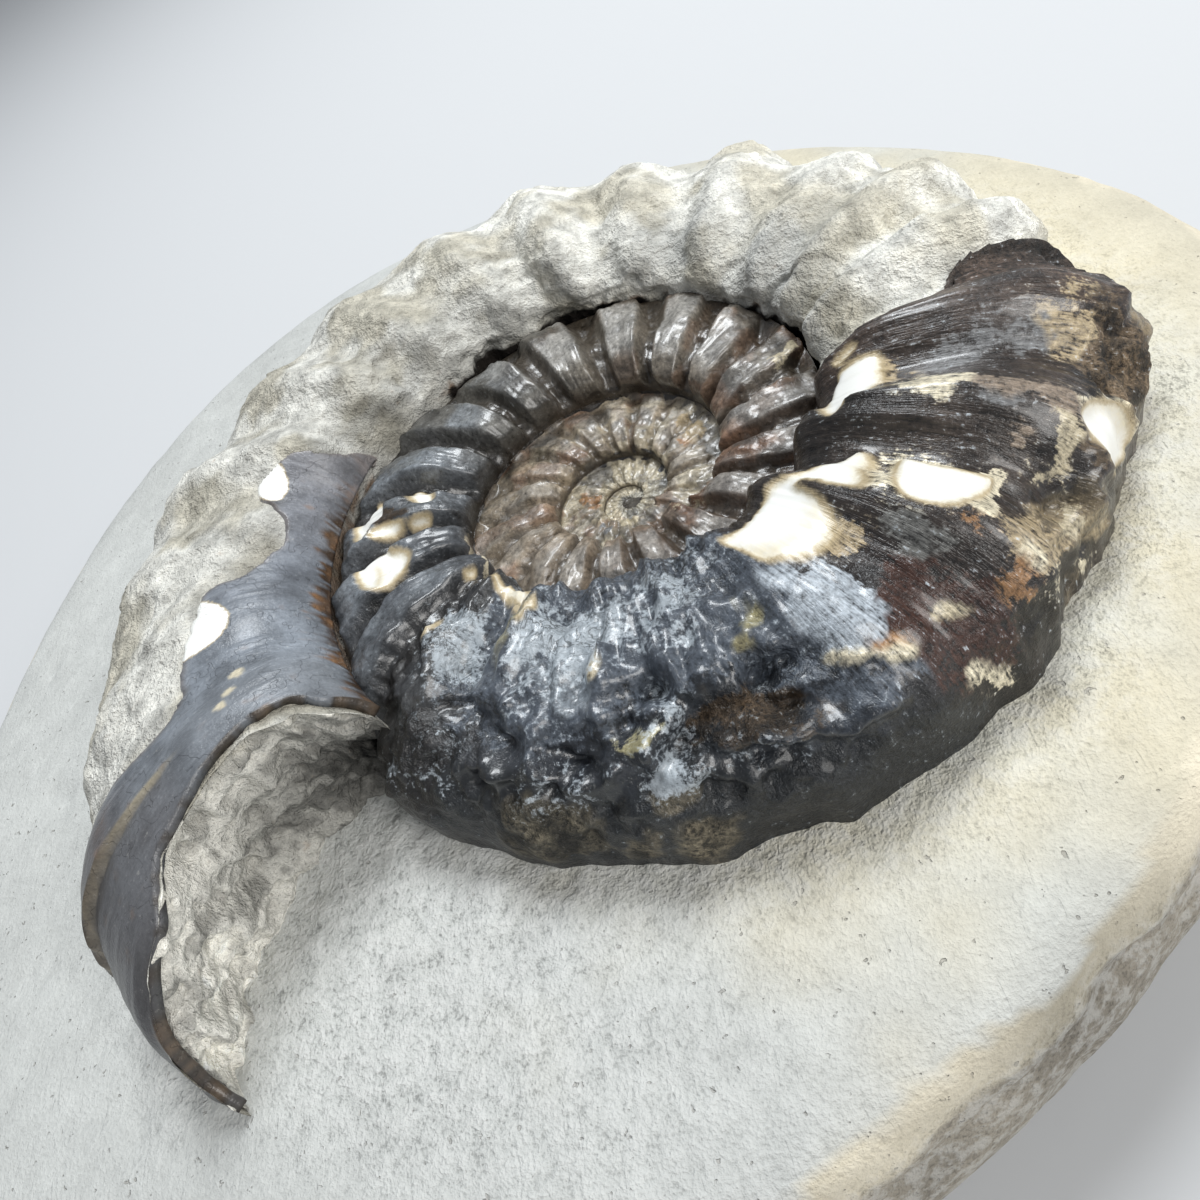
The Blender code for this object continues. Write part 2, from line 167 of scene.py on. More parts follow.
# Outlines of white calcite on the coil and on the shell, as corners of angle and share across
COIL_WHITE = (
    ((241.7, 0.231), (236.9, 0.217), (232.5, 0.228), (231.7, 0.269), (231.5, 0.312), (232, 0.333),
     (235.5, 0.333), (239.5, 0.35), (241.8, 0.343), (244, 0.308), (247.1, 0.294), (246.9, 0.276)),
    ((243.1, 0.7), (241.8, 0.714), (239, 0.794), (238.4, 0.844), (238.8, 0.882), (239.9, 0.914),
     (242.9, 0.896), (245.2, 0.875), (246.1, 0.808), (245.2, 0.78), (245, 0.738), (244.4, 0.714)),
    ((258.7, 0.427), (254.6, 0.41), (254.4, 0.434), (254.9, 0.479), (254.7, 0.518), (254.5, 0.56),
     (254.3, 0.595), (254.2, 0.616), (256, 0.619), (258.6, 0.581), (260.7, 0.546), (261.7, 0.507),
     (262, 0.476), (261.6, 0.451)),
    ((281.9, 0.298), (278.2, 0.29), (273.9, 0.276), (268.9, 0.266), (265.2, 0.266), (263, 0.294),
     (260.3, 0.308), (257.7, 0.326), (256.5, 0.34), (253.6, 0.35), (254.4, 0.371), (258.4, 0.389),
     (259.9, 0.364), (263.4, 0.361), (263, 0.326), (264.5, 0.315), (265.2, 0.326), (265.8, 0.357),
     (267.1, 0.382), (269.1, 0.396), (270.8, 0.403), (273.1, 0.403), (275.5, 0.396), (278.5, 0.382),
     (279.9, 0.371), (280.4, 0.336), (281.5, 0.315)),
    ((261.7, 0.333), (258.4, 0.326), (255.9, 0.34), (257, 0.368), (260.5, 0.396), (262.9, 0.399),
     (263.1, 0.382), (263.5, 0.361)),
    ((390, 0.63), (391.8, 0.56), (391.6, 0.47), (389, 0.4), (384.5, 0.355), (381, 0.37), (379.2, 0.41),
     (379, 0.48), (380.4, 0.55), (383.6, 0.61), (387.6, 0.64)),
    ((411, 0.8), (411.6, 0.7), (408, 0.56), (405, 0.5), (403, 0.51), (402, 0.56), (399.8, 0.58),
     (397.6, 0.6), (398.4, 0.68), (403, 0.77), (407.5, 0.82)),
    ((398.4, 0.56), (399.6, 0.5), (399.4, 0.42), (398.4, 0.385), (396.8, 0.4), (396.4, 0.47), (396.8, 0.54)),
    ((398.2, 0.35), (398.6, 0.31), (398.4, 0.27), (397.4, 0.28), (397, 0.33), (397.4, 0.36)),
    ((410.6, 0.399), (411.7, 0.378), (408.9, 0.294), (404.4, 0.287), (403.9, 0.329), (406.2, 0.371)),
    SEAM_SHELF,
    SEAM_SLIVER,
    ((356.5, 0.399), (356.7, 0.392), (356.9, 0.375), (355.9, 0.385), (356.2, 0.399)),
    ((362.4, 0.252), (362.4, 0.231), (362.1, 0.21), (361.6, 0.221), (361.9, 0.245)),
    ((338, 0.283), (336.2, 0.276), (331.4, 0.298), (331.6, 0.308), (336, 0.29)),
    ((230.2, 0.238), (229.3, 0.266), (228.3, 0.294), (228.9, 0.294), (229.8, 0.273), (230.6, 0.249)),
)
SHELL_WHITE = (
    ((49.6, 0.345), (52.4, 0.325), (53.6, 0.29), (51.6, 0.255), (48.9, 0.23), (44.6, 0.235), (45.6, 0.285)),
    ((26.6, 0.38), (24, 0.34), (21.2, 0.31), (19, 0.3), (17.2, 0.31), (16, 0.33), (15.6, 0.365),
     (16.2, 0.41), (22.5, 0.39)),
)

# Colours of stains, skins and mineral films
CREAM, TAN, ORANGE, YELLOW = (0.60, 0.54, 0.40), (0.33, 0.26, 0.16), (0.25, 0.135, 0.06), (0.30, 0.27, 0.15)
BROWN, RED_BROWN = (0.036, 0.024, 0.014), (0.037, 0.014, 0.008)
UMBER, RUSSET = (0.085, 0.060, 0.036), (0.20, 0.105, 0.060)
COAL, COAL_BLUE, GREY_BLUE = (0.012, 0.011, 0.011), (0.013, 0.015, 0.017), (0.070, 0.082, 0.100)
PEARL_AND_SHEEN, PLATE, SHEEN, FILM = (0.32, 0.355, 0.39), (0.15, 0.17, 0.19), (0.13, 0.13, 0.13), (0.24, 0.248, 0.248)
CAP, CAP_BLUE, SILVER_AND_SHEEN = (0.29, 0.28, 0.26), (0.16, 0.178, 0.195), (0.37, 0.41, 0.44)
BONE, FLESH, OLIVE_GREY = (0.45, 0.39, 0.27), (0.21, 0.165, 0.125), (0.12, 0.118, 0.11)
BASE_OLIVE, BASE_TAN = (0.062, 0.054, 0.038), (0.10, 0.085, 0.058)

# Where the white calcite turns cream
CREAM_CALCITE = (
    ((279.5, 0.34), (277, 0.361), (274.8, 0.375), (272.2, 0.382), (269.6, 0.375), (266.7, 0.361),
     (267, 0.385), (268.8, 0.399), (271.1, 0.406), (273.4, 0.41), (276.3, 0.399), (280.4, 0.378),
     (281.5, 0.333)),
    ((387.4, 0.518), (386.6, 0.483), (381.2, 0.465), (379, 0.497), (381.1, 0.532)),
    TIP_RIM,
    SPOT_RIM,
    EDGE_RIM,
    SEAM_SHELF,
    SEAM_SLIVER,
)

# Marks on the coil: stains, painted sheens and reflections, painted shade on the lower flank, and dark
# patches and bands along the seams; each a colour, softness of the edge in metres, corners of angle and share
# across
COIL_MARKS = (
    (GREY_BLUE, 1.6 * MM, ((345, 0.05), (345, 0.55), (318, 0.6), (300, 0.5), (287, 0.62), (276, 0.8),
     (272, 0.6), (276, 0.4), (284, 0.25), (300, 0.05))),
    # Painted shade: the steep lower flank, laid over with near-black blue.
    (COAL_BLUE, 1.8 * MM, ((350, 0.66), (350, 1.1), (274, 1.1), (274, 0.84), (290, 0.76), (305, 0.72),
     (325, 0.66))),
    # Partly painted reflection: the flat facet's pale pearly blue stands in for the overhead light's
    # reflection as well as its nacre.
    (PEARL_AND_SHEEN, 0.5 * MM, ((283, 0.378), (279.7, 0.392), (275.5, 0.41), (273.5, 0.444), (273.6, 0.483),
     (273.6, 0.532), (274.3, 0.609), (276.2, 0.651), (279, 0.627), (280.6, 0.627), (283.2, 0.595),
     (283.1, 0.553), (283.7, 0.501), (282.9, 0.438), (283.2, 0.399))),
    (RED_BROWN, 1.2 * MM, ((270.3, 0.5), (267.7, 0.55), (264.3, 0.68), (265.6, 0.76), (267.8, 0.85),
     (270.2, 0.91), (273.3, 0.83), (274.9, 0.76), (275.9, 0.66), (274.2, 0.6))),
    (PLATE, 0.5 * MM, ((330.4, 0.375), (324.4, 0.364), (317.6, 0.371), (315.8, 0.399), (315, 0.465),
     (319.7, 0.49), (323.3, 0.441), (327.1, 0.406))),
    (BROWN, 0.7 * MM, ((302.8, 0.591), (300.2, 0.581), (298, 0.546), (295.1, 0.546), (292.4, 0.577),
     (290.6, 0.627), (288.8, 0.665), (288.1, 0.689), (289.1, 0.693), (291, 0.689), (293.6, 0.672),
     (296, 0.658), (297.9, 0.655), (300, 0.658), (301.2, 0.675), (302.3, 0.689), (302.9, 0.679),
     (303.5, 0.655))),
    (COAL, 1 * MM, ((353.2, 0.655), (346.7, 0.571), (342.9, 0.591), (339.8, 0.655), (339.5, 0.78),
     (345.2, 0.917), (347.2, 0.861), (353.3, 0.844))),
    (BASE_OLIVE, 0.6 * MM, ((331.3, 0.76), (326.4, 0.725), (321.2, 0.732), (318.6, 0.78), (316.9, 0.892),
     (319, 0.959), (332.5, 0.994), (332.8, 0.9))),
    (BASE_TAN, 0.4 * MM, ((314.9, 0.892), (312.7, 0.847), (310.4, 0.844), (311.5, 0.938), (313.4, 0.994),
     (316.2, 0.98))),
    (BASE_TAN, 0.4 * MM, ((307, 0.812), (304.8, 0.819), (302.8, 0.85), (300.5, 0.868), (303.3, 0.934),
     (306.1, 0.998), (309.9, 0.998), (308.3, 0.864))),
    (BASE_TAN, 0.3 * MM, ((308.4, 0.735), (305.1, 0.714), (304.2, 0.721), (305.9, 0.777), (308.5, 0.76))),
    (UMBER, 0.8 * MM, ((227.9, 0.655), (226.2, 0.711), (226.8, 0.784), (226.5, 0.889), (228.2, 0.942),
     (229.9, 0.984), (237.7, 0.875), (238.7, 0.872), (238, 0.833), (238.7, 0.788), (241.4, 0.693),
     (237.3, 0.711), (233.1, 0.707), (230.2, 0.703))),
    (TAN, 1.6 * MM, ((229.3, 0.557), (228.5, 0.595), (228.9, 0.644), (230, 0.686), (231.5, 0.689),
     (232.4, 0.641), (232.2, 0.585), (230.7, 0.557))),
    (SHEEN, 1.6 * MM, ((234, 0.392), (232.3, 0.42), (231.6, 0.497), (230.7, 0.563), (231.6, 0.588),
     (233.2, 0.577), (234.6, 0.511), (236.2, 0.434), (235.4, 0.385))),
    (SHEEN, 0.8 * MM, ((244.8, 0.49), (243.6, 0.535), (244.1, 0.577), (244.8, 0.619), (246.2, 0.599),
     (246.2, 0.549), (245.9, 0.507))),
    (FLESH, 0.8 * MM, ((247.1, 0.567), (246.2, 0.599), (247.1, 0.616), (248.1, 0.595))),
    (OLIVE_GREY, 0.8 * MM, ((265.9, 0.465), (264.4, 0.469), (263.8, 0.501), (264, 0.557), (263.9, 0.599),
     (264.6, 0.585), (265.5, 0.539), (266.7, 0.529), (266.6, 0.497))),
    (TAN, 0.3 * MM, SPOT_RIM),
    (CREAM, 0.25 * MM, ((240.8, 0.389), (238.6, 0.413), (241.3, 0.479), (242.6, 0.486), (244.6, 0.458),
     (245.2, 0.431), (244.6, 0.399), (244.4, 0.382))),
    (FLESH, 0.4 * MM, ((241.8, 0.486), (242.5, 0.532), (243.2, 0.585), (243.1, 0.633), (242.6, 0.669),
     (243.5, 0.7), (245.1, 0.707), (245.2, 0.697), (244.2, 0.675), (243.9, 0.637), (244.2, 0.581),
     (243.7, 0.529), (243.3, 0.486))),
    (CREAM, 0.35 * MM, ((260.5, 0.413), (254.8, 0.396), (252.8, 0.403), (253.3, 0.469), (253.8, 0.549),
     (252.7, 0.623), (254.7, 0.655), (258.3, 0.637), (260.5, 0.609), (260.6, 0.567), (262.3, 0.529),
     (262.4, 0.479), (263.1, 0.444), (262.5, 0.42))),
    (CREAM, 0.3 * MM, TIP_RIM),
    (CREAM, 0.4 * MM, EDGE_RIM),
    (BONE, 0.35 * MM, ((248.4, 0.647), (246.8, 0.647), (245.5, 0.658), (245.2, 0.693), (245.4, 0.725),
     (246.3, 0.725), (247.2, 0.714), (248, 0.732), (248.3, 0.763), (249, 0.78), (250, 0.78), (250.1, 0.749),
     (250.5, 0.714), (249.5, 0.686))),
    (BONE, 0.3 * MM, ((250, 0.774), (248.8, 0.777), (249.3, 0.819), (250.4, 0.844), (251, 0.844),
     (251.6, 0.878), (254.3, 0.868), (254.6, 0.83), (251.4, 0.84), (251.7, 0.812), (250.6, 0.794))),
    (UMBER, 0.3 * MM, ((247.3, 0.717), (245.7, 0.725), (245.4, 0.77), (246.7, 0.788), (247.9, 0.788),
     (247.9, 0.756))),
    (TAN, 0.3 * MM, ((270.4, 0.396), (268.9, 0.396), (267.5, 0.413), (267.7, 0.438), (269.6, 0.441),
     (271.7, 0.448), (272.7, 0.427), (272.3, 0.403))),
    (TAN, 0.8 * MM, ((260.6, 0.647), (258.6, 0.689), (254.2, 0.756), (254.2, 0.788), (255.4, 0.812),
     (254.8, 0.872), (261.2, 0.766), (262.1, 0.746), (262.1, 0.697), (261.9, 0.661))),
    (CREAM, 0.4 * MM, ((254.2, 0.928), (252.8, 0.931), (251.4, 0.973), (252.3, 0.984), (253.6, 0.966))),
    (CREAM, 0.4 * MM, ((262.1, 0.693), (259.9, 0.721), (260.2, 0.742), (262, 0.742), (262.6, 0.728))),
    (CREAM, 0.4 * MM, ((262.2, 0.791), (261.4, 0.784), (259.3, 0.854), (261.7, 0.816))),
    (ORANGE, 0.5 * MM, ((264.9, 0.707), (263.4, 0.697), (262.4, 0.714), (263.3, 0.756), (264.2, 0.788),
     (265.6, 0.749))),
    (ORANGE, 0.4 * MM, ((262.2, 0.563), (261.4, 0.574), (261.9, 0.609), (262.9, 0.616), (262.5, 0.585))),
    (BONE, 0.3 * MM, ((270.3, 0.658), (269.2, 0.661), (267.7, 0.707), (268, 0.732), (269.7, 0.717),
     (270.8, 0.679))),
    (CREAM, 0.2 * MM, ((273.1, 0.83), (272, 0.84), (270.4, 0.9), (269.2, 0.95), (270.2, 0.96),
     (271.8, 0.9))),
    (ORANGE, 0.2 * MM, ((279, 0.619), (277.9, 0.63), (277.1, 0.655), (277, 0.679), (278.4, 0.658),
     (279.3, 0.63))),
    (CREAM, 0.15 * MM, ((283.3, 0.588), (279.9, 0.627), (276.9, 0.686), (277.2, 0.693), (280.4, 0.641),
     (283.6, 0.599))),
    (YELLOW, 0.2 * MM, ((284.4, 0.392), (288.1, 0.424), (290.4, 0.455), (291.6, 0.465), (289.8, 0.472),
     (287.2, 0.431), (284.7, 0.403))),
    (YELLOW, 0.25 * MM, ((330.4, 0.315), (329.6, 0.345), (331.6, 0.375), (333.2, 0.38), (332.8, 0.34))),
    (YELLOW, 0.25 * MM, ((311.5, 0.595), (310.4, 0.599), (308.6, 0.591), (306.6, 0.577), (304.7, 0.56),
     (303.8, 0.567), (304.5, 0.581), (306.5, 0.591), (307.9, 0.605), (309.7, 0.616), (311.1, 0.609))),
    (BONE, 0.2 * MM, ((313.6, 0.406), (313.4, 0.396), (312.5, 0.392), (311.5, 0.396), (311.7, 0.406),
     (312.7, 0.413))),
    (BROWN, 0.3 * MM, ((404.6, 0.49), (404, 0.42), (402.4, 0.37), (400.2, 0.33), (398.8, 0.35),
     (399.4, 0.42), (400, 0.5), (401.4, 0.55))),
    (CREAM, 0.15 * MM, ((400.1, 0.052), (364, 0.123), (350, 0.238), (363.5, 0.144), (397, 0.007))),
    (COAL, 0.25 * MM, ((468, -0.03), (470, 0.03), (490, 0.05), (520, 0.06), (545, 0.04), (552, -0.03))),
    (COAL, 0.25 * MM, ((832, -0.03), (838, 0.05), (870, 0.08), (900, 0.08), (940, 0.05), (948, -0.03))),
    (COAL, 0.25 * MM, ((828, 1.03), (830, 0.95), (870, 0.93), (900, 0.95), (912, 1.03))),
    (COAL, 0.15 * MM, ((1190, 1.03), (1200, 0.93), (1250, 0.92), (1300, 0.94), (1308, 1.03))),
    (ORANGE, 0.4 * MM, ((1142.8, 0.608), (1148.2, 0.496), (1131, 0.264), (1109.8, 0.296), (1109.5, 0.432),
     (1128.5, 0.512))),
    (BONE, 0.3 * MM, ((1047.8, 0.328), (1029.2, 0.208), (1017, 0.408))),
    (SHEEN, 0.4 * MM, ((1076.5, 0.512), (1068, 0.424), (1049.2, 0.456))),
    (BONE, 0.4 * MM, ((622.4, 0.206), (630.8, 0.298), (635.4, 0.245))),
    (TAN, 0.3 * MM, ((900.8, 0.536), (900.5, 0.696), (914.5, 0.592), (919.8, 0.496), (911.8, 0.464))),
    (ORANGE, 0.3 * MM, ((901.8, 0.392), (912.2, 0.432), (919.5, 0.432), (921.2, 0.368), (915.5, 0.336))),
    (BONE, 0.4 * MM, ((563.4, 0.563), (558.6, 0.686), (558.7, 0.826), (562.7, 0.847), (564.8, 0.934),
     (565.5, 0.725), (565.8, 0.602))),
)
DULL_STAINS = (5, 7, 8, 9, 11)  # which of the stains are matt and gritty
DULL_PLACES = tuple(COIL_MARKS[place][2] for place in DULL_STAINS)

# Ridges, folds and slits: height and half width in metres, then points of angle and share across
COIL_RIDGES = (
    (1.35 * MM, 0.42 * MM, ((302.4, 0.697), (301.5, 0.686), (300.4, 0.672), (299.3, 0.672), (298.3, 0.679),
     (296.4, 0.672), (295.2, 0.669), (293.7, 0.683), (292.7, 0.693), (291.1, 0.7), (289, 0.7),
     (287.4, 0.714), (286.2, 0.725), (284.9, 0.721), (283.5, 0.725), (282.4, 0.721))),
    (-1.25 * MM, 1.1 * MM, ((298.5, 0.647), (295.5, 0.651), (293, 0.672), (290.6, 0.683))),
    (-0.5 * MM, 0.35 * MM, ((302.4, 0.693), (302.4, 0.672), (302.4, 0.644))),
    (0.6 * MM, 0.34 * MM, ((313.2, 0.43), (313.3, 0.444), (313.8, 0.483), (312.8, 0.532), (312.6, 0.574),
     (311.2, 0.602), (309.8, 0.609), (308, 0.599), (305.8, 0.581), (304.3, 0.567), (303.6, 0.549),
     (305.1, 0.529))),
    (0.45 * MM, 0.22 * MM, ((305.1, 0.529), (307.8, 0.525), (307.9, 0.483), (309.4, 0.444))),
    (-0.6 * MM, 0.4 * MM, ((311.2, 0.553), (310.9, 0.563))),
    (-0.5 * MM, 0.4 * MM, ((307.8, 0.476), (307.5, 0.493))),
    (-0.5 * MM, 0.45 * MM, ((303.6, 0.483), (304.4, 0.469))),
    (-0.6 * MM, 0.28 * MM, ((329.1, 0.431), (327.7, 0.424), (326.1, 0.417))),
    (-0.4 * MM, 0.4 * MM, ((315.5, 0.465), (314.7, 0.479))),
    (-0.55 * MM, 0.45 * MM, ((304.9, 0.595), (304.6, 0.63), (303.9, 0.655))),
    (0.35 * MM, 0.22 * MM, ((309.8, 0.273), (310.5, 0.347), (311.8, 0.382), (312.7, 0.399))),
    (-0.4 * MM, 0.3 * MM, ((310.6, 0.294), (311.2, 0.354), (312.5, 0.382), (313.4, 0.399))),
    (0.4 * MM, 0.4 * MM, ((328.1, 0.308), (330.5, 0.34), (334.1, 0.371), (334.5, 0.413), (334.3, 0.451))),
    (-0.9 * MM, 0.4 * MM, ((291.3, 0.549), (289.8, 0.546), (287.9, 0.543), (286, 0.553))),
    (-0.15 * MM, 0.18 * MM, ((275.1, 0.511), (275.5, 0.535), (275.7, 0.557), (274.7, 0.613))),
    (0.2 * MM, 0.15 * MM, ((283.3, 0.588), (279.9, 0.627), (276.9, 0.686))),
    (-0.35 * MM, 0.2 * MM, ((318.9, 0.864), (318.6, 0.914), (318.1, 0.942), (317.7, 0.966))),
    (-0.3 * MM, 0.3 * MM, ((332.3, 0.574), (328.1, 0.581), (325.2, 0.577), (321.3, 0.599), (318.9, 0.637),
     (317, 0.651))),
    (0.22 * MM, 0.2 * MM, ((273.3, 0.83), (271.8, 0.86), (269.4, 0.95))),
    (-0.25 * MM, 0.22 * MM, ((340, 0.3), (336, 0.52), (331, 0.7), (331, 0.88))),
)


def smooth_share(share):
    """A share held between 0 and 1, with soft ends."""
    share = np.clip(share, 0.0, 1.0)
    return share * share * (3 - 2 * share)


def track(pairs, value):
    """Smooth interpolation through pairs of position and amount, which may be a tuple."""
    places = np.array([pair[0] for pair in pairs], float)
    amounts = np.array([pair[1] for pair in pairs], float)
    index = np.clip(np.searchsorted(places, value, side="right") - 1, 0, len(places) - 2)
    share = smooth_share((value - places[index]) / (places[index + 1] - places[index]))
    if amounts.ndim > 1:
        share = share[..., None]
    return amounts[index] + (amounts[index + 1] - amounts[index]) * share


def bell(distance, width):
    """1 at no distance, falling off over the width."""
    return np.exp(-0.5 * (distance / width) ** 2)


def step_up(value, start, end):
    """0 before start and 1 after end."""
    return smooth_share((value - start) / (end - start))


def between(value, start, full, fading, end):
    """1 from full to fading, and 0 before start and after end."""
    return step_up(value, start, full) * (1 - step_up(value, fading, end))


def laid(tone, colour, share):
    """The tone with a colour laid over it by a share from 0 to 1."""
    return tone + (np.array(colour) - tone) * share[:, None]


def varied(colour, amount):
    """A colour made lighter or darker, point by point, by an amount about 0."""
    return np.array(colour) * (1 + amount)[:, None]


def lattice(cell, seed):
    """A fixed number from -1 to 1 for each whole-number cell."""
    mixed = cell[..., 0] * 73856093 ^ cell[..., 1] * 19349663 ^ cell[..., 2] * 83492791 ^ seed * 2654435
    mixed = (mixed ^ (mixed >> 13)) * 1274126177
    mixed = (mixed ^ (mixed >> 11)) * 668265263
    return ((mixed >> 7) & 0xFFFF) / 32767.5 - 1


def noise(points, size, seed):
    """Smooth noise from -1 to 1 whose lumps are about the given size."""
    scaled = points / size + 500.0
    cell = np.floor(scaled).astype(np.int64)
    share = smooth_share(scaled - cell)
    total = 0.0
    for corner in np.ndindex(2, 2, 2):
        offset = np.array(corner)
        weight = np.prod(np.where(offset, share, 1 - share), axis=-1)
        total = total + weight * lattice(cell + offset, seed)
    return total


def rough(points, size, seed, octaves=3):
    """Layers of noise, each half as coarse and half as strong as the one before."""
    return sum(0.5**step * noise(points, size / 2**step, seed + step) for step in range(octaves))


def creases(points, size, seed):
    """Sharp-crested wrinkles from 0 to about 1."""
    layers = (0.5**step * (1 - abs(noise(points, size / 2**step, seed + step))) ** 2 for step in range(3))
    return sum(layers) / 1.75


def over(points, size, seed, floor):
    """The part of a noise that rises above a floor: scattered lumps, or pits when it is taken away."""
    return np.clip(noise(points, size, seed) - floor, 0, 1)


def whorl_radius(angle):
    turns = angle / 360
    return MOUTH_RADIUS * np.exp(-GROWTH * turns - TIGHTENING * turns * turns)


def outline_radius(angle):
    swelling = sum(share * bell(angle - place, width) for place, width, share in SWELLINGS)
    return whorl_radius(angle) * (1 + swelling + track(OUTLINE_SHIFT, angle))


def seam(angle):
    radius = whorl_radius(angle)
    return (SEAM_SHARE - track(SEAM_INWARD, angle)) * radius, SEAM_HEIGHT * radius + RAISED


def section(angle, across, tuck):
    """Radius and height of the smooth whorl, whose outer edge is free before tuck and covered after it."""
    radius = whorl_radius(angle)
    crest_radius = CREST_SHARE * radius
    crest_height = CREST_HEIGHT * radius * track(CREST_LIFT, angle) + RAISED
    seam_radius, seam_height = seam(angle)
    sweep = np.clip(across / CREST_ACROSS, 0, 1) * np.pi / 2
    inner_reach = crest_radius - (crest_radius - seam_radius) * np.cos(sweep) ** 0.75
    inner_reach -= track(OVERHANG, angle) * radius * np.clip(np.sin(2 * sweep), 0, 1)
    inner_height = seam_height + (crest_height - seam_height) * np.sin(sweep) ** 0.85
    tucked = step_up(angle, *tuck)
    cover_radius, cover_height = seam(angle - 360)
    edge_radius = outline_radius(angle) * (1 - tucked) + cover_radius * tucked
    edge_height = cover_height * tucked
    full = np.maximum(outline_radius(angle), edge_radius) - crest_radius
    share = np.clip((across - CREST_ACROSS) / (1 - CREST_ACROSS), 0, 1)
    last_sweep = np.arcsin(np.clip((edge_radius - crest_radius) / full, 0, 1) ** (1 / 0.9))
    sweep = share * last_sweep
    rise = crest_height - RAISED
    height = RAISED + rise * np.clip(np.cos(sweep), 0, 1) ** 0.9
    end_height = RAISED + rise * np.clip(np.cos(last_sweep), 0, 1) ** 0.9
    outer_reach = crest_radius + full * np.sin(sweep) ** 0.9
    outer_height = height + (edge_height - end_height) * share**3
    inner = across < CREST_ACROSS
    return np.where(inner, inner_reach, outer_reach), np.where(inner, inner_height, outer_height)


def bearing(angle):
    """The way out from the spiral axis at an angle."""
    direction = np.radians(MOUTH_DIRECTION - angle)
    return np.stack([np.cos(direction), np.sin(direction), np.zeros_like(direction)], -1)


def whorl_surface(angle, across, tuck, relief_of):
    """Points of the whorls round the spiral axis, pushed out by relief_of(points)."""
    reach, height = section(angle, across, tuck)
    outward = bearing(angle)
    up = np.array((0.0, 0.0, 1.0))
    points = outward * reach[..., None] + up * height[..., None]
    heart = outward * (CREST_SHARE * whorl_radius(angle))[..., None] + up * (0.4 * height)[..., None]
    away = points - heart
    away /= np.linalg.norm(away, axis=-1, keepdims=True)
    return points + away * relief_of(points)[..., None]


def rib_wave(angle, across):
    """1 on the crest of a rib and 0 in the groove. The ribs lean, so their crests shift across the whorl."""
    angle = angle + RIB_SLANT * (across - CREST_ACROSS)
    ribs = np.array(LAST_WHORL_RIBS, float)
    count = np.interp(angle, ribs, np.arange(len(ribs)))
    count = count + np.minimum(0, angle - ribs[0]) / INNER_RIB_STEP
    count = count + np.maximum(0, angle - ribs[-1]) / INNER_RIB_STEP
    return 0.5 + 0.5 * np.cos(2 * np.pi * count)


def rib_swing(angle):
    """Height of the ribs at an angle, in metres."""
    return whorl_radius(angle) * track(RIB_STRENGTH, angle)


def strand_places(angle, across, degrees, strands):
    """Places for a noise drawn out across the whorl, as growth lines and fibres are."""
    return np.stack([angle / degrees, across * strands, angle * 0], -1)


def unrolled(angle, across, outline):
    """Metres along and across the unrolled whorl, for places near an outline and for its corners."""
    corners = np.array(outline, float)
    middle = corners.mean(axis=0)
    scale = whorl_radius(middle[0]) * np.array((0.7 * math.radians(1), 0.72))
    places = (np.stack([angle, across], -1) - middle) * scale
    corners = (corners - middle) * scale
    near = (abs(places) < abs(corners).max(axis=0) + 3 * MM).all(axis=-1)
    return places[near][:, None], corners, near


def round_corners(corners):
    """A closed outline with each corner cut twice."""
    for _ in range(2):
        after = np.roll(corners, -1, axis=0)
        corners = np.stack([0.75 * corners + 0.25 * after, 0.25 * corners + 0.75 * after], 1).reshape(-1, 2)
    return corners


def line_distance(places, starts, edges):
    share = np.clip(((places - starts) * edges).sum(-1) / (edges**2).sum(-1), 0, 1)
    return np.linalg.norm(places - starts - share[..., None] * edges, axis=-1).min(axis=1)


def depth_inside(angle, across, outline):
    """Distance in metres inside a closed outline, below 0 outside it."""
    places, corners, near = unrolled(angle, across, outline)
    corners = round_corners(corners)
    edges = np.roll(corners, -1, axis=0) - corners
    above = corners[:, 1] > places[..., 1]
    crossing = above != np.roll(above, -1, axis=1)
    slope = edges[:, 0] / np.where(edges[:, 1] == 0, 1e-12, edges[:, 1])
    left = places[..., 0] < corners[:, 0] + (places[..., 1] - corners[:, 1]) * slope
    side = np.where((crossing & left).sum(axis=1) % 2 == 1, 1, -1)
    depth = np.full(angle.shape, -3 * MM)
    depth[near] = side * line_distance(places, corners, edges)
    return depth


def deepest(angle, across, outlines):
    return np.max([depth_inside(angle, across, outline) for outline in outlines], axis=0)


def ridge_relief(angle, across, ridges, knobs):
    """Height of drawn ridges and, where the height is below 0, of drawn grooves."""
    relief = np.zeros_like(angle)
    for height, width, line in ridges:
        places, corners, near = unrolled(angle, across, line)
        away = line_distance(places, corners[:-1], np.diff(corners, axis=0))
        relief[near] += height * bell(away, width) * (1 + 0.75 * knobs[near])
    return relief


def lay_marks(tone, angle, across, stains, grain):
    """The tone with each listed mark laid over it, and how far each point is covered by one."""
    covered = np.zeros(len(angle))
    for colour, blur, outline in stains:
        depth = depth_inside(angle, across, outline) + grain * (0.5 * blur + 0.3 * MM)
        beyond = (0.5 * blur + 0.2 * MM) * (1 - covered)
        tone = laid(tone, colour, smooth_share((depth + beyond) / (0.3 * MM) + 0.5))
        covered = np.maximum(covered, smooth_share(depth / blur + 0.5))
    return tone, covered


def grid_mesh(name, rows, columns):
    """A flat grid as a mesh, with each point's share along and across it."""
    bm = bmesh.new()
    bmesh.ops.create_grid(bm, x_segments=rows, y_segments=columns, size=0.5)
    mesh = bpy.data.meshes.new(name)
    bm.to_mesh(mesh)
    bm.free()
    flat = np.empty(len(mesh.vertices) * 3)
    mesh.vertices.foreach_get("co", flat)
    flat = flat.reshape(-1, 3)
    along = np.round((flat[:, 0] + 0.5) * rows) / rows
    across = np.round((flat[:, 1] + 0.5) * columns) / columns
    return mesh, along, across


def set_points(mesh, points):
    mesh.vertices.foreach_set("co", np.ascontiguousarray(points, np.float32).ravel())


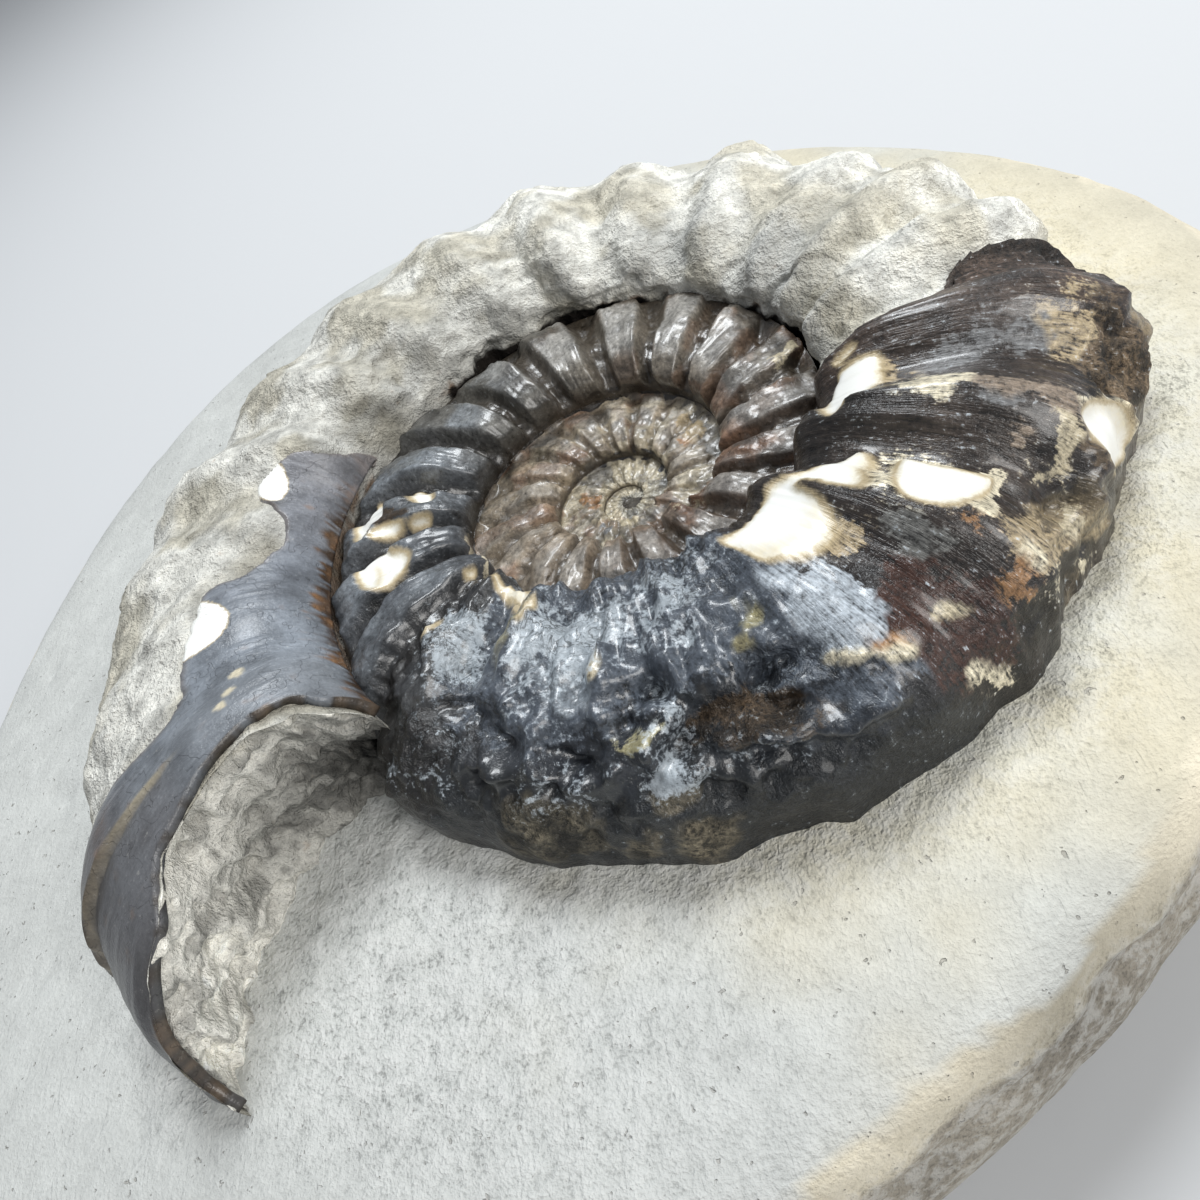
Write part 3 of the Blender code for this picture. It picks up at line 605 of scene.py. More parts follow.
def set_surface_map(mesh, along, across):
    """A UV map of turns along the coil and share across the whorl."""
    loops = np.empty(len(mesh.loops), np.int32)
    mesh.loops.foreach_get("vertex_index", loops)
    pairs = np.stack([along[loops], across[loops]], -1)
    mesh.uv_layers.new(name="whorl").data.foreach_set("uv", pairs.astype(np.float32).ravel())


def set_amount(mesh, name, values):
    mesh.attributes.new(name, "FLOAT", "POINT").data.foreach_set("value", values.astype(np.float32))


DARKEST = 0.004


def set_tone(mesh, colours, name="tone"):
    rgba = np.concatenate([np.clip(colours, DARKEST, 1), np.ones((len(colours), 1))], -1)
    layer = mesh.attributes.new(name, "FLOAT_COLOR", "POINT")
    layer.data.foreach_set("color", rgba.astype(np.float32).ravel())


def boundary(bm):
    return [edge for edge in bm.edges if len(edge.link_faces) == 1]


def close_below(bm, floor):
    """Walls from the open edges straight down to a flat underside."""
    made = bmesh.ops.extrude_edge_only(bm, edges=boundary(bm))["geom"]
    for vert in (item for item in made if isinstance(item, bmesh.types.BMVert)):
        vert.co.z = floor
    bmesh.ops.triangle_fill(bm, edges=boundary(bm), use_beauty=False, normal=(0, 0, -1))


def finish_piece(bm, name, node, material):
    """Makes the piece's object, which rides on the body and stands for its solid node."""
    bmesh.ops.recalc_face_normals(bm, faces=bm.faces)
    upper = (face for face in bm.faces if face.calc_center_median().z > SLAB_TOP)
    if sum(face.normal.z * face.calc_area() for face in upper) < 0:
        bmesh.ops.reverse_faces(bm, faces=bm.faces)
    mesh = bpy.data.meshes.new(name)
    bm.to_mesh(mesh)
    bm.free()
    mesh.shade_smooth()
    mesh.materials.append(material)
    piece = bpy.data.objects.new(name, mesh)
    bpy.context.scene.collection.objects.link(piece)
    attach(piece, "root")
    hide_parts(node)
    return piece


# ---------------------------------------------------------------- shader expressions


class Value:
    """A shader socket that takes part in expressions."""

    def __init__(self, graph, socket):
        self.graph = graph
        self.socket = socket

    def math(self, operation, *others):
        inputs = dict(enumerate((self, *others)))
        return self.graph.node("ShaderNodeMath", {"operation": operation}, inputs)

    def __add__(self, other):
        return self.math("ADD", other)

    __radd__ = __add__

    def __sub__(self, other):
        return self.math("SUBTRACT", other)

    def __rsub__(self, other):
        return (self * -1) + other

    def __mul__(self, other):
        return self.math("MULTIPLY", other)

    __rmul__ = __mul__

    def floor_at(self, other):
        return self.math("MAXIMUM", other)

    def step(self, low, high):
        """0 below low, 1 above high, smooth between."""
        inputs = {"Value": self, "From Min": low, "From Max": high}
        return self.graph.node("ShaderNodeMapRange", {"interpolation_type": "SMOOTHSTEP"}, inputs)


MIX_FIRST, MIX_SECOND, MIX_RESULT = 6, 7, 2  # the Mix node's colour sockets


class Graph:
    """A material's nodes, ending in one Principled shader."""

    def __init__(self, name):
        self.material = bpy.data.materials.new(name)
        self.material.use_nodes = True
        self.tree = self.material.node_tree
        self.tree.nodes.clear()
        self.shader = self.tree.nodes.new("ShaderNodeBsdfPrincipled")
        output = self.tree.nodes.new("ShaderNodeOutputMaterial")
        self.tree.links.new(self.shader.outputs["BSDF"], output.inputs["Surface"])
        self.place = self.node("ShaderNodeTexCoord", output="Object")
        self.map = self.node("ShaderNodeUVMap", {"uv_map": "whorl"}, output="UV")

    def feed(self, socket, value):
        if isinstance(value, Value):
            self.tree.links.new(value.socket, socket)
        elif hasattr(value, "__len__"):
            socket.default_value = (*value, 1.0)[:len(socket.default_value)]
        else:
            socket.default_value = value

    def node(self, kind, settings=None, inputs=None, output=0):
        made = self.tree.nodes.new(kind)
        for name, setting in (settings or {}).items():
            setattr(made, name, setting)
        for name, value in (inputs or {}).items():
            self.feed(made.inputs[name], value)
        return Value(self, made.outputs[output])

    def amount(self, name):
        return self.node("ShaderNodeAttribute", {"attribute_name": name}, output="Fac")

    def tone(self, name="tone"):
        return self.node("ShaderNodeAttribute", {"attribute_name": name}, output="Color")

    def stretch(self, vector, scale):
        return self.node("ShaderNodeVectorMath", {"operation": "MULTIPLY"}, {0: vector, 1: scale})

    def noise(self, size=None, vector=None, detail=3.0, roughness=0.55, warp=0.0):
        """Noise from 0 to 1 about 0.5, with lumps of a size in metres."""
        return self.node("ShaderNodeTexNoise", {"noise_dimensions": "3D"}, {
            "Vector": vector or self.place, "Scale": 1 / size if size else 1.0,
            "Detail": detail, "Roughness": roughness, "Distortion": warp,
        })

    def mix(self, factor, first, second):
        """The first colour where the factor is 0 and the second where it is 1."""
        inputs = {"Factor": factor, MIX_FIRST: first, MIX_SECOND: second}
        return self.node("ShaderNodeMix", {"data_type": "RGBA"}, inputs, MIX_RESULT)

    def shade(self, colour, factor):
        """A colour darkened or lightened by a number."""
        return self.node("ShaderNodeVectorMath", {"operation": "SCALE"}, {0: colour, "Scale": factor})

    def folded(self, value):
        """1 along the folds of a noise and falling on both sides of them."""
        return 1 - (value * 2 - 1).math("ABSOLUTE") * 2.5

    def bump(self, height, depth):
        """A Bump node from a height value and its depth in metres."""
        return self.node("ShaderNodeBump", inputs={"Height": height, "Distance": depth, "Strength": 1.0})

    def finish(self, colour, roughness, normal, **constants):
        self.feed(self.shader.inputs["Base Color"], colour)
        self.feed(self.shader.inputs["Roughness"], roughness)
        self.feed(self.shader.inputs["Normal"], normal)
        for name, value in constants.items():
            self.feed(self.shader.inputs[name.replace("_", " ")], value)
        return self.material


# ---------------------------------------------------------------- limestone nodule

SLAB_PROFILE = (
    (0.0, 0.0), (0.45, 0.0), (0.80, 0.004), (0.90, 0.012), (0.955, 0.022), (0.985, 0.040),
    (1.0, 0.070), (1.012, 0.120), (1.006, 0.140), (1.020, 0.190), (1.025, 0.270),
    (1.015, 0.350), (0.975, 0.420), (0.910, 0.4556), (0.0, 0.4556),
)
PROFILE_SPACING = 0.55 * MM
WARM_REACH = 45 * MM  # from the middle to where the stone is warmest
COIL_SIDE_PAINTED_LIGHT = (0.38, 0.34, 0.22)  # how much lighter and warmer the stone is painted beside the coil: painted light that lifts the coil's shadow


def slab_radius(direction):
    wave = sum(
        even * np.cos(lobes * direction) + odd * np.sin(lobes * direction) for lobes, even, odd in SLAB_LOBES
    )
    return SLAB_RADIUS * (1 + wave + SLAB_SHOULDER * bell(direction, SHOULDER_WIDTH))


def fine_profile():
    """The turned profile with its corners rounded and points at an even spacing."""
    corners = np.array(SLAB_PROFILE) * (SLAB_RADIUS, -MOUTH_RADIUS)
    for _ in range(3):
        quarter = corners[:-1] * 0.75 + corners[1:] * 0.25
        three = corners[:-1] * 0.25 + corners[1:] * 0.75
        cut = np.stack([quarter, three], 1).reshape(-1, 2)
        corners = np.concatenate([corners[:1], cut, corners[-1:]])
    lengths = np.concatenate([[0], np.cumsum(np.linalg.norm(np.diff(corners, axis=0), axis=1))])
    even = np.linspace(0, lengths[-1], int(lengths[-1] / PROFILE_SPACING))
    return [tuple(np.interp(step, lengths, column) for column in corners.T) for step in even]


def outside_fossil(points):
    """Distance on the slab from the fossil's outline, below 0 inside it."""
    offset = points[:, :2] - AXIS[:2]
    angle = (MOUTH_DIRECTION - np.degrees(np.arctan2(offset[:, 1], offset[:, 0])) + 8) % 360 - 8
    return np.hypot(*offset.T) - outline_radius(angle)


def mouth_bed(points):
    """1 on the rougher floor in front of the mouth."""
    offset = points[:, :2] - AXIS[:2]
    ahead = (np.degrees(np.arctan2(offset[:, 1], offset[:, 0])) - MOUTH_DIRECTION + 180) % 360 - 180
    reach = np.hypot(*offset.T) / MOUTH_RADIUS
    return bell(ahead - 20, 22) * step_up(reach, 0.25, 0.5) * (1 - step_up(reach, 0.85, 1.1))


def weather_slab(points, wear):
    """Gentle swells, small pits, a roughened edge and the tooled moat round the fossil."""
    away = outside_fossil(points)
    moat = bell(away, 1.0 * MM) * (away > -2 * MM)
    near = bell(np.maximum(away, 0), 2.6 * MM)
    side = step_up(-points[:, 2], 1.0 * MM, 3.0 * MM)
    lift = 0.12 * MM * rough(points, 14 * MM, 3, 2)
    lift += wear * 0.05 * MM * rough(points, 1.6 * MM, 7, 2)
    lift += wear * near * 0.14 * MM * rough(points, 1.1 * MM, 11)
    lift -= 0.40 * MM * moat * (0.7 + 0.6 * noise(points, 3 * MM, 17))
    lift += side * wear * 0.40 * MM * rough(points, 3.2 * MM, 29, 4)
    lift -= side * wear * 0.45 * MM * over(points, 2.2 * MM, 31, 0.35)
    top = points[:, 2] > -1.2 * MM
    return lift - top * 1.0 * MM * over(points, 1.8 * MM, 23, 0.72)


def slab_tone(points, colours):
    """Cool grey stone that warms to one side, painted light beside the coil, a tan band on the shoulder and a
    darker side.
    """
    cloud = rough(points, 7 * MM, 401)
    grain = rough(points, 1.4 * MM, 403)
    sideways = points[:, 0] / WARM_REACH
    warm = step_up(sideways + 0.5 * cloud, 0.1, 0.95)
    tone = laid(np.array(colours.limestone), colours.limestone_warm, warm)
    # Painted light: the stone beside the coil is made lighter and warmer to lift the shadow that the coil
    # casts there.
    painted_light_beside = step_up(sideways, 0.0, 0.6) * bell(np.maximum(outside_fossil(points), 0), 5 * MM)
    tone = tone * (1 + painted_light_beside[:, None] * np.array(COIL_SIDE_PAINTED_LIGHT))
    drop = SLAB_TOP - points[:, 2] + 0.5 * MM * cloud + 0.25 * MM * grain
    for start, end, colour in ((1.3, 1.5, colours.weathered_edge), (3.3, 3.9, colours.weathered_side)):
        tone = laid(tone, varied(colour, 0.35 * cloud), step_up(drop, start * MM, end * MM))
    return varied(tone, 0.07 * cloud + 0.07 * grain)


def build_matrix(sizes, colours):
    profile = fine_profile()
    bm = bmesh.new()
    rim = [bm.verts.new((max(reach, 0.0), 0, height)) for reach, height in profile]
    edges = [bm.edges.new(pair) for pair in zip(rim, rim[1:])]
    bmesh.ops.spin(bm, geom=rim + edges, cent=(0, 0, 0), axis=(0, 0, 1), angle=2 * math.pi,
                   steps=SLAB_STEPS, use_merge=True)
    bmesh.ops.remove_doubles(bm, verts=bm.verts, dist=0.02 * MM)
    bmesh.ops.recalc_face_normals(bm, faces=bm.faces)
    mesh = bpy.data.meshes.new("slab_form")
    bm.to_mesh(mesh)
    flat = np.empty(len(mesh.vertices) * 3)
    mesh.vertices.foreach_get("co", flat)
    points = flat.reshape(-1, 3)
    direction = np.arctan2(points[:, 1], points[:, 0])
    points[:, :2] *= (slab_radius(direction) / SLAB_RADIUS)[:, None]
    points -= SLAB_MIDDLE
    normals = np.empty(len(mesh.vertices) * 3)
    mesh.vertices.foreach_get("normal", normals)
    base = points[:, 2] < -SLAB_TOP + 0.3 * MM
    lift = np.where(base, 0.0, weather_slab(points, sizes.weathering))
    sunk = np.minimum(0, lift) + np.minimum(0.06 * MM, np.maximum(0, lift))
    points = points + normals.reshape(-1, 3) * sunk[:, None] + (0, 0, SLAB_TOP)
    points[:, 2] = np.clip(points[:, 2], 0.0, SLAB_TOP)
    set_points(mesh, points)
    rugged = np.maximum(bell(np.maximum(outside_fossil(points), 0), 2.4 * MM), mouth_bed(points))
    set_amount(mesh, "near", np.maximum(rugged, 0.8 * step_up(SLAB_TOP - points[:, 2], 2.2 * MM, 3.6 * MM)))
    set_tone(mesh, slab_tone(points, colours))
    bm.clear()
    bm.from_mesh(mesh)
    material = paint_matrix(colours)
    return finish_piece(bm, "limestone_matrix_stone", "limestone_matrix", material)


def paint_matrix(colours):
    g = Graph("matrix limestone")
    fine = g.noise(0.22 * MM, detail=2, roughness=0.7)
    grit = g.noise(0.9 * MM, detail=3, roughness=0.7)
    stone = g.shade(g.tone(), 0.74 + fine * 0.30 + grit * 0.22)
    specks = g.noise(0.42 * MM, detail=2, roughness=0.5).step(0.68, 0.73) * grit.step(0.44, 0.56)
    stone = g.mix(specks * 0.5, stone, colours.fleck)
    near = g.amount("near")
    stone = g.mix(near * grit.step(0.42, 0.62) * 0.4, stone, colours.stone_dust)
    stone = g.shade(stone, 1 - near * (fine * 0.5 + grit * 0.5).step(0.46, 0.36) * 0.35)
    scratch = g.noise(vector=g.stretch(g.place, (2600, 420, 900)), detail=1).step(0.64, 0.70)
    height = fine * 0.6 + grit * (0.6 + near * 1.4) + fine * near * 0.4 - specks * 0.5 - scratch * 0.1
    normal = g.bump(height, 0.14 * MM)
    return g.finish(stone, 0.80, normal, Specular_IOR_Level=0.3)


# ---------------------------------------------------------------- dark calcite coil

COIL_TUCK = (355.0, 362.0)
COIL_TONES = (
    (200, (0.085, 0.060, 0.045)), (221, (0.070, 0.048, 0.036)), (228, (0.044, 0.031, 0.024)),
    (246, (0.034, 0.026, 0.021)), (262, (0.028, 0.021, 0.017)), (274, (0.022, 0.017, 0.015)),
    (284, (0.030, 0.036, 0.046)), (300, (0.026, 0.030, 0.036)), (318, (0.028, 0.032, 0.040)),
    (335, (0.030, 0.032, 0.036)), (347, (0.050, 0.050, 0.050)), (356, (0.030, 0.031, 0.033)),
    (372, (0.062, 0.067, 0.075)), (410, (0.090, 0.097, 0.105)), (450, (0.105, 0.100, 0.088)),
    (500, (0.125, 0.110, 0.088)), (560, (0.115, 0.098, 0.078)), (600, (0.092, 0.066, 0.050)),
    (650, (0.110, 0.080, 0.058)), (720, (0.235, 0.190, 0.140)), (900, (0.255, 0.212, 0.158)),
    (1100, (0.29, 0.255, 0.195)), (1300, (0.30, 0.275, 0.215)), (1700, (0.32, 0.30, 0.245)),
)
# Mottling of the inner whorls: colour, angles of its start and full strength, size, seed, the noise
# where it is bare and where it is full, its share and its grain
COIL_MOTTLES = (
    (RUSSET, (430, 620), 1.8 * MM, 307, (0.0, 0.5), 0.6, 0.5),
    (BONE, (700, 980), 1.1 * MM, 309, (0.05, 0.35), 0.7, 0.3),
    (OLIVE_GREY, (640, 900), 1.3 * MM, 319, (0.1, 0.4), 0.7, 0.0),
)
CAP_TONES = ((430, CAP_BLUE), (480, CAP))
# Painted shadow: the near-black tones laid in the rib grooves of the inner whorls, along the seams and at the
# dark layer's start. GROOVE_SHADE is how strongly the grooves take it.
SHADOW_TONES = ((420, (0.012, 0.009, 0.006)), (480, (0.040, 0.030, 0.020)))
GROOVE_SHADE = ((350, 0.85), (600, 0.85), (760, 0.55), (1700, 0.4))
INNER_LUMPS = ((380, 0.018), (650, 0.026), (900, 0.040), (1700, 0.05))
CAP_SHARE = (
    (355, 0.2), (366, 0.6), (420, 0.7), (470, 0.85), (600, 0.6), (760, 0.45), (1100, 0.25), (1300, 0.0),
)
MOTTLED_EDGE = (220, 226, 256, 264)  # angles between which the outer flank is mottled tan
# Heights over the cast of the dark layer's thin start and of its full ribs, and depth where it ends
FLAKE_STANDING, RIB_STANDING, BURIED = 0.22 * MM, 0.46 * MM, -0.9 * MM
# Outlines of the fields of silvery skin, which is partly painted reflection of the overhead light
SILVER_SHEEN_FIELDS = (
    ((361, 0.385), (360.6, 0.329), (346.8, 0.301), (342.2, 0.294), (338.2, 0.375), (338.8, 0.438),
     (344.6, 0.486)),
    ((331.8, 0.315), (328, 0.269), (311.9, 0.298), (311.1, 0.375), (311.8, 0.462), (317.2, 0.483),
     (323.5, 0.465)),
    ((310.2, 0.283), (306.1, 0.221), (296, 0.283), (291.8, 0.347), (294.9, 0.427), (297.9, 0.532),
     (300.8, 0.609), (305.4, 0.605), (307.4, 0.546), (309, 0.465), (310.9, 0.396)),
    ((306, 0.8), (310.1, 0.732), (314.8, 0.686), (310.6, 0.627), (304.6, 0.689), (303.1, 0.728)),
)
BROKEN_START, BROKEN_FULL = 276.0, 288.0  # wrinkled and broken from here to the last rib of the outer whorl
WELD = 0.0001 * MM


def coil_start(angle, across, points):
    """Where the dark layer begins: its height over the cast, buried, then a thin flake, then a full rib,
    and the angle past that edge."""
    ragged = (1.2 - 0.9 * step_up(across, 0.60, 0.72)) * rough(points, 2.2 * MM, 33, 2)
    past = angle - track(COIL_EDGE, across) + ragged
    full = angle - track(FIRST_RIB_EDGE, across) + 0.5 * ragged
    lead = 1.8 + 4.0 * step_up(across, 0.62, 0.75)
    start = BURIED + (FLAKE_STANDING - BURIED) * smooth_share((past + lead) / (lead + 0.2))
    return start + (RIB_STANDING - FLAKE_STANDING) * step_up(full, -0.5, 0.7), past


def crumple(points, upper):
    """Creases, pits and fine roughness of the broken part of the coil."""
    height = (0.40 + 0.35 * upper) * MM * (creases(points, 2.2 * MM, 51) - 0.45)
    height -= (0.25 + 0.75 * upper) * MM * over(points, 1.5 * MM, 53, 0.22)
    height -= 0.6 * (0.25 + 0.75 * upper) * MM * over(points, 0.8 * MM, 55, 0.25)
    return height + 0.40 * MM * rough(points, 0.9 * MM, 57, 2)


def coil_relief(angle, across, points, sizes):
    """Height of the coil's surface over the smooth whorl, which fades to 0 at its seams."""
    radius = whorl_radius(angle)
    wave = rib_wave(angle, across)
    covered = step_up(angle, *COIL_TUCK)
    outer = 1 - step_up(angle, 350, 380)
    broken = outer * step_up(angle, BROKEN_START, BROKEN_FULL)
    whole = outer * (1 - broken)
    filled = step_up(deepest(angle, across, COIL_WHITE), -0.4 * MM, 0.3 * MM)
    profile = wave**1.15 * (1 - covered) + step_up(wave, 0.02, 0.50) * covered
    relief = rib_swing(angle) * (profile - 0.45) * sizes.rib_height * (1 - 0.7 * filled)
    striae = strand_places(angle, across, 1.1, 3)
    relief += 0.05 * MM * rough(striae, 1.0, 41, 2) * np.minimum(1, radius / (20 * MM))
    upper = step_up(0.72 - across, -0.05, 0.05)
    relief += broken * crumple(points, upper) * (1 - 0.7 * step_up(across, 0.80, 0.90))
    strands = noise(strand_places(angle, across, 0.9, 9), 1.0, 59)
    relief += (1 - filled) * whole * 0.12 * MM * strands * step_up(across, 0.05, 0.2)
    relief += whole * 0.10 * MM * rough(points, 2.6 * MM, 67, 2)
    flank = outer * step_up(across, 0.68, 0.8) * (1 - step_up(angle, 266, 276))
    flank *= (1 - filled) * (1 - 0.6 * step_up(angle, 252, 262))
    relief += flank * (0.7 * MM * rough(points, 1.5 * MM, 71) + 0.5 * MM * over(points, 1.1 * MM, 73, 0))
    relief += (1 - outer) * radius * track(INNER_LUMPS, angle) * rough(points / radius[..., None], 0.13, 77)
    knobs = noise(points, 1.3 * MM, 61)
    relief += ridge_relief(angle, across, COIL_RIDGES, knobs) + 0.10 * MM * filled * outer
    start, _ = coil_start(angle, across, points)
    standing = np.where(angle < 260, start, RIB_STANDING) * outer
    inner_fade = smooth_share(across / (0.24 - 0.10 * covered))
    outer_fade = smooth_share((1 - across) / (0.2 - 0.06 * covered))
    fade = inner_fade * (outer_fade * covered + (0.35 + 0.65 * outer_fade) * (1 - covered))
    laid_down = np.minimum(0, start) * (1 - fade) * 0.5
    return fade * (relief * step_up(start, 0, FLAKE_STANDING) + standing) + laid_down


def coil_tone(angle, across, points, past):
    """Colours of the coil without and with its marks, and how far each point is covered by a mark. Both carry
    painted shadow in the grooves, along the seams and at the dark layer's start, and painted shade on the
    lower flank.
    """
    grain = rough(points, 1.1 * MM, 301)
    blotch = rough(points, 2.6 * MM, 305)
    wave = rib_wave(angle, across)
    tone = varied(track(COIL_TONES, angle), 0.5 * grain + 0.4 * blotch)
    for colour, place, size, seed, spread, share, grained in COIL_MOTTLES:
        amount = share * step_up(angle, *place) * step_up(rough(points, size, seed), *spread)
        tone = laid(tone, varied(colour, grained * grain), amount)
    inner = step_up(angle, 335, 370)
    # The rib crests of the inner whorls take lighter grey caps, partly their own colour and partly painted
    # highlight.
    caps = inner * step_up(wave, 0.3, 0.6) * between(across, 0.22, 0.34, 0.74, 0.86)
    caps *= step_up(blotch, -0.6, 0.1) * track(CAP_SHARE, angle)
    tone = laid(tone, varied(track(CAP_TONES, angle), 0.4 * grain), caps)
    mottled = bell(across - 0.86, 0.11) * between(angle, *MOTTLED_EDGE)
    mottle = step_up(mottled + 0.65 * rough(points, 2.2 * MM, 311), 0.75, 1.05)
    tone = laid(tone, varied(TAN, 0.5 * grain - 0.2), mottle)
    # Painted shade: the steep lower flank faces away from the light and is darkened in patches.
    patchy_flank_shade = np.clip(0.60 - 0.9 * rough(points, 1.7 * MM, 325), 0.2, 0.85)
    tone = varied(tone, -patchy_flank_shade * lower_flank(angle, across))
    dull = step_up(deepest(angle, across, DULL_PLACES), -0.3 * MM, 0.3 * MM)
    grit = np.maximum(dull * (1.3 * noise(points, 0.9 * MM, 317) + 0.7 * noise(points, 0.5 * MM, 318)), -0.75)
    # Painted shade: the grooves, the seams and the line where the dark layer starts are laid over with the
    # shadow tones.
    groove_shadow = inner * np.clip(1 - 2.8 * wave, 0, 1) * track(GROOVE_SHADE, angle)
    seam_shadow = np.maximum(bell(across, 0.06), bell(1 - across, 0.05) * step_up(angle, 350, 362))
    start_shadow = bell(past, 0.8) * (angle < 224)
    dark = np.maximum(np.maximum(groove_shadow, seam_shadow), start_shadow * 0.7)
    marked, covered = lay_marks(tone, angle, across, COIL_MARKS, grain)
    shadow = track(SHADOW_TONES, angle)
    plain, marked = (laid(varied(each, grit), shadow, dark) for each in (tone, marked))
    return plain, marked, covered


def lower_flank(angle, across):
    """Share of the steep flank below the broken part, which is painted darker as shade and made duller."""
    return step_up(across, 0.70, 0.84) * between(angle, 252, 264, 340, 356)


def silver_and_sheen_amount(angle, across, points):
    """How much of the broken part is covered with silvery skin, which is partly a painted reflection of the
    overhead light.
    """
    crumpled = 0.9 * creases(points, 1.8 * MM, 321) + 0.9 * rough(points, 2.4 * MM, 323)
    place = between(angle, BROKEN_START + 2, BROKEN_FULL, 352, 364) * (1 - 0.90 * step_up(across, 0.72, 0.82))
    inside = deepest(angle, across, SILVER_SHEEN_FIELDS) + 1.2 * MM * rough(points, 1.5 * MM, 329, 2)
    field = step_up(inside, -0.6 * MM, 1.2 * MM)
    return np.clip(0.9 * crumpled + 0.34 * field - 0.124, 0, 1) * place * (0.35 + 0.65 * field)


def lay_coil(name, first, last, rows_per_turn, columns, sizes):
    """One run of the coil from an outer angle to an inner one, welded where a whorl meets the next."""
    mesh, along, across = grid_mesh(name, round((last - first) / 360 * rows_per_turn), columns)
    angle = first + (last - first) * along
    relief = functools.partial(coil_relief, angle, across, sizes=sizes)
    points = whorl_surface(angle, across, COIL_TUCK, relief)
    set_points(mesh, points)
    set_surface_map(mesh, angle / 360, across)
    _, past = coil_start(angle, across, points)
    plain, marked, covered = coil_tone(angle, across, points, past)
    set_tone(mesh, plain, "plain")
    set_tone(mesh, marked)
    wrinkled = between(angle, BROKEN_START, BROKEN_FULL, 350, 362)
    wrinkled *= step_up(rough(points, 3.0 * MM, 331) - 1.6 * (across - 0.52), -0.15, 0.6)
    dull = step_up(deepest(angle, across, DULL_PLACES), -0.4 * MM, 0.4 * MM)
    dull = np.maximum(dull, 1 - step_up(angle, 221, 226))
    amounts = {
        "white": deepest(angle, across, COIL_WHITE) / MM,
        "cream": deepest(angle, across, CREAM_CALCITE) / MM,
        "wrinkled": wrinkled,
        "calm": step_up(angle, BROKEN_START, BROKEN_FULL),
        "dull": np.maximum(dull, 0.5 * lower_flank(angle, across)),
        # How far each point is covered by a mark: stains, painted sheens and reflections, or painted shade.
        "marking": covered,
        "silver_and_sheen": silver_and_sheen_amount(angle, across, points),
    }
    for kind, values in amounts.items():
        set_amount(mesh, kind, values)
    bm = bmesh.new()
    bm.from_mesh(mesh)
    bmesh.ops.remove_doubles(bm, verts=bm.verts, dist=WELD)
    return bm


def build_coil(sizes, colours):
    material = paint_coil(colours)
    outer = lay_coil("outer_form", COIL_START, COIL_JOIN, OUTER_ROWS_PER_TURN, OUTER_COLUMNS, sizes)
    close_below(outer, SUNK)
    inner = lay_coil("inner_form", COIL_JOIN, NUCLEUS, INNER_ROWS_PER_TURN, INNER_COLUMNS, sizes)
    eye = whorl_radius(NUCLEUS - 360)
    opening = [edge for edge in boundary(inner) if all(vert.co.xy.length < eye for vert in edge.verts)]
    lid = bmesh.ops.contextual_create(inner, geom=opening)["faces"]
    knob = bmesh.ops.poke(inner, faces=lid)["verts"][0]
    knob.co.z += 0.25 * eye
    close_below(inner, SUNK)
    for bm, name in ((outer, "calcite_coil_outer"), (inner, "calcite_coil_inner")):
        bmesh.ops.translate(bm, verts=bm.verts, vec=AXIS)
        finish_piece(bm, name, "calcite_coil", material)


def paint_coil(colours):
    g = Graph("dark calcite")
    fine = g.noise(0.30 * MM, detail=3, roughness=0.7)
    lines = g.noise(vector=g.stretch(g.map, (760, 16, 1)), detail=3, roughness=0.7)
    foil = g.folded(g.noise(1.5 * MM, detail=4, roughness=0.62, warp=0.8))
    wrinkled = g.amount("wrinkled")
    combed = 1 - g.amount("calm") * 0.8
    streak = (lines - 0.5) * combed
    ragged = (fine - 0.5) * 2.2 + streak * 2.2 + (foil - 0.5) * wrinkled * 0.25
    body = g.mix((g.amount("marking") + ragged).step(0.18, 0.82), g.tone("plain"), g.tone())
    dull = g.amount("dull")
    body = g.shade(body, (1.0 + (fine - 0.5) * (2.6 + dull * 3.0) + streak * 3.6).floor_at(0.25))
    # Painted glints: small flecks of silver sheen on the ribs.
    fleck = (fine * 0.5 + lines * 0.6).step(0.62, 0.70)
    body = g.mix(fleck * 0.08, body, colours.silver_sheen)
    # Silvery skin and painted reflection: pale blue-silver laid on the broken part where the overhead light
    # reflects.
    skin_and_sheen = (g.amount("silver_and_sheen") + ragged * 0.8 + (foil - 0.5) * 0.40).step(0.36, 0.80)
    body = g.mix(skin_and_sheen * 0.8, body, g.shade(SILVER_AND_SHEEN, (1.1 + ragged * 0.7).floor_at(0.3)))
    # Painted shade: the folds of the broken part darkened in their creases.
    body = g.shade(body, 1 - (foil + (fine - 0.5) * 0.25).step(0.86, 0.97) * wrinkled * 0.7)
    edge = g.amount("white") + (fine - 0.5) * 0.26
    creamy = (g.amount("cream") + (fine - 0.5) * 0.5 + (lines - 0.5) * 0.4).step(-0.5, 0.6)
    creamy = creamy.floor_at((1 - edge.step(0.0, 0.35)) * 0.7)
    white = g.mix(creamy, colours.white_calcite, g.shade(colours.cream_calcite, 0.75 + fine * 0.5))
    body = g.mix(edge.step(-0.30, 0.0), body, colours.calcite_rim)
    clean = edge.step(-0.08, 0.12)
    body = g.mix(clean, body, white)
    roughness = 0.16 + fine * 0.20 + lines * 0.10 + dull * 0.30 + clean * 0.10 + wrinkled * 0.05
    still = 1 - clean
    grain = (0.6 + wrinkled * 0.8 + dull * 3.4) * still
    normal = g.bump(streak * still * 0.9 + fine * grain - foil * wrinkled * 0.9, 0.10 * MM)
    coat = {"Coat_Weight": (1 - dull) * 0.45, "Coat_Roughness": 0.16}
    return g.finish(body, roughness, normal, Specular_IOR_Level=0.5, **coat)


# ---------------------------------------------------------------- body chamber cast

CAST_END = 232.0
FACE_SHARE = FACE_ROWS / (FACE_ROWS + CAST_ROWS)
CAST_TUCK = (400.0, 401.0)
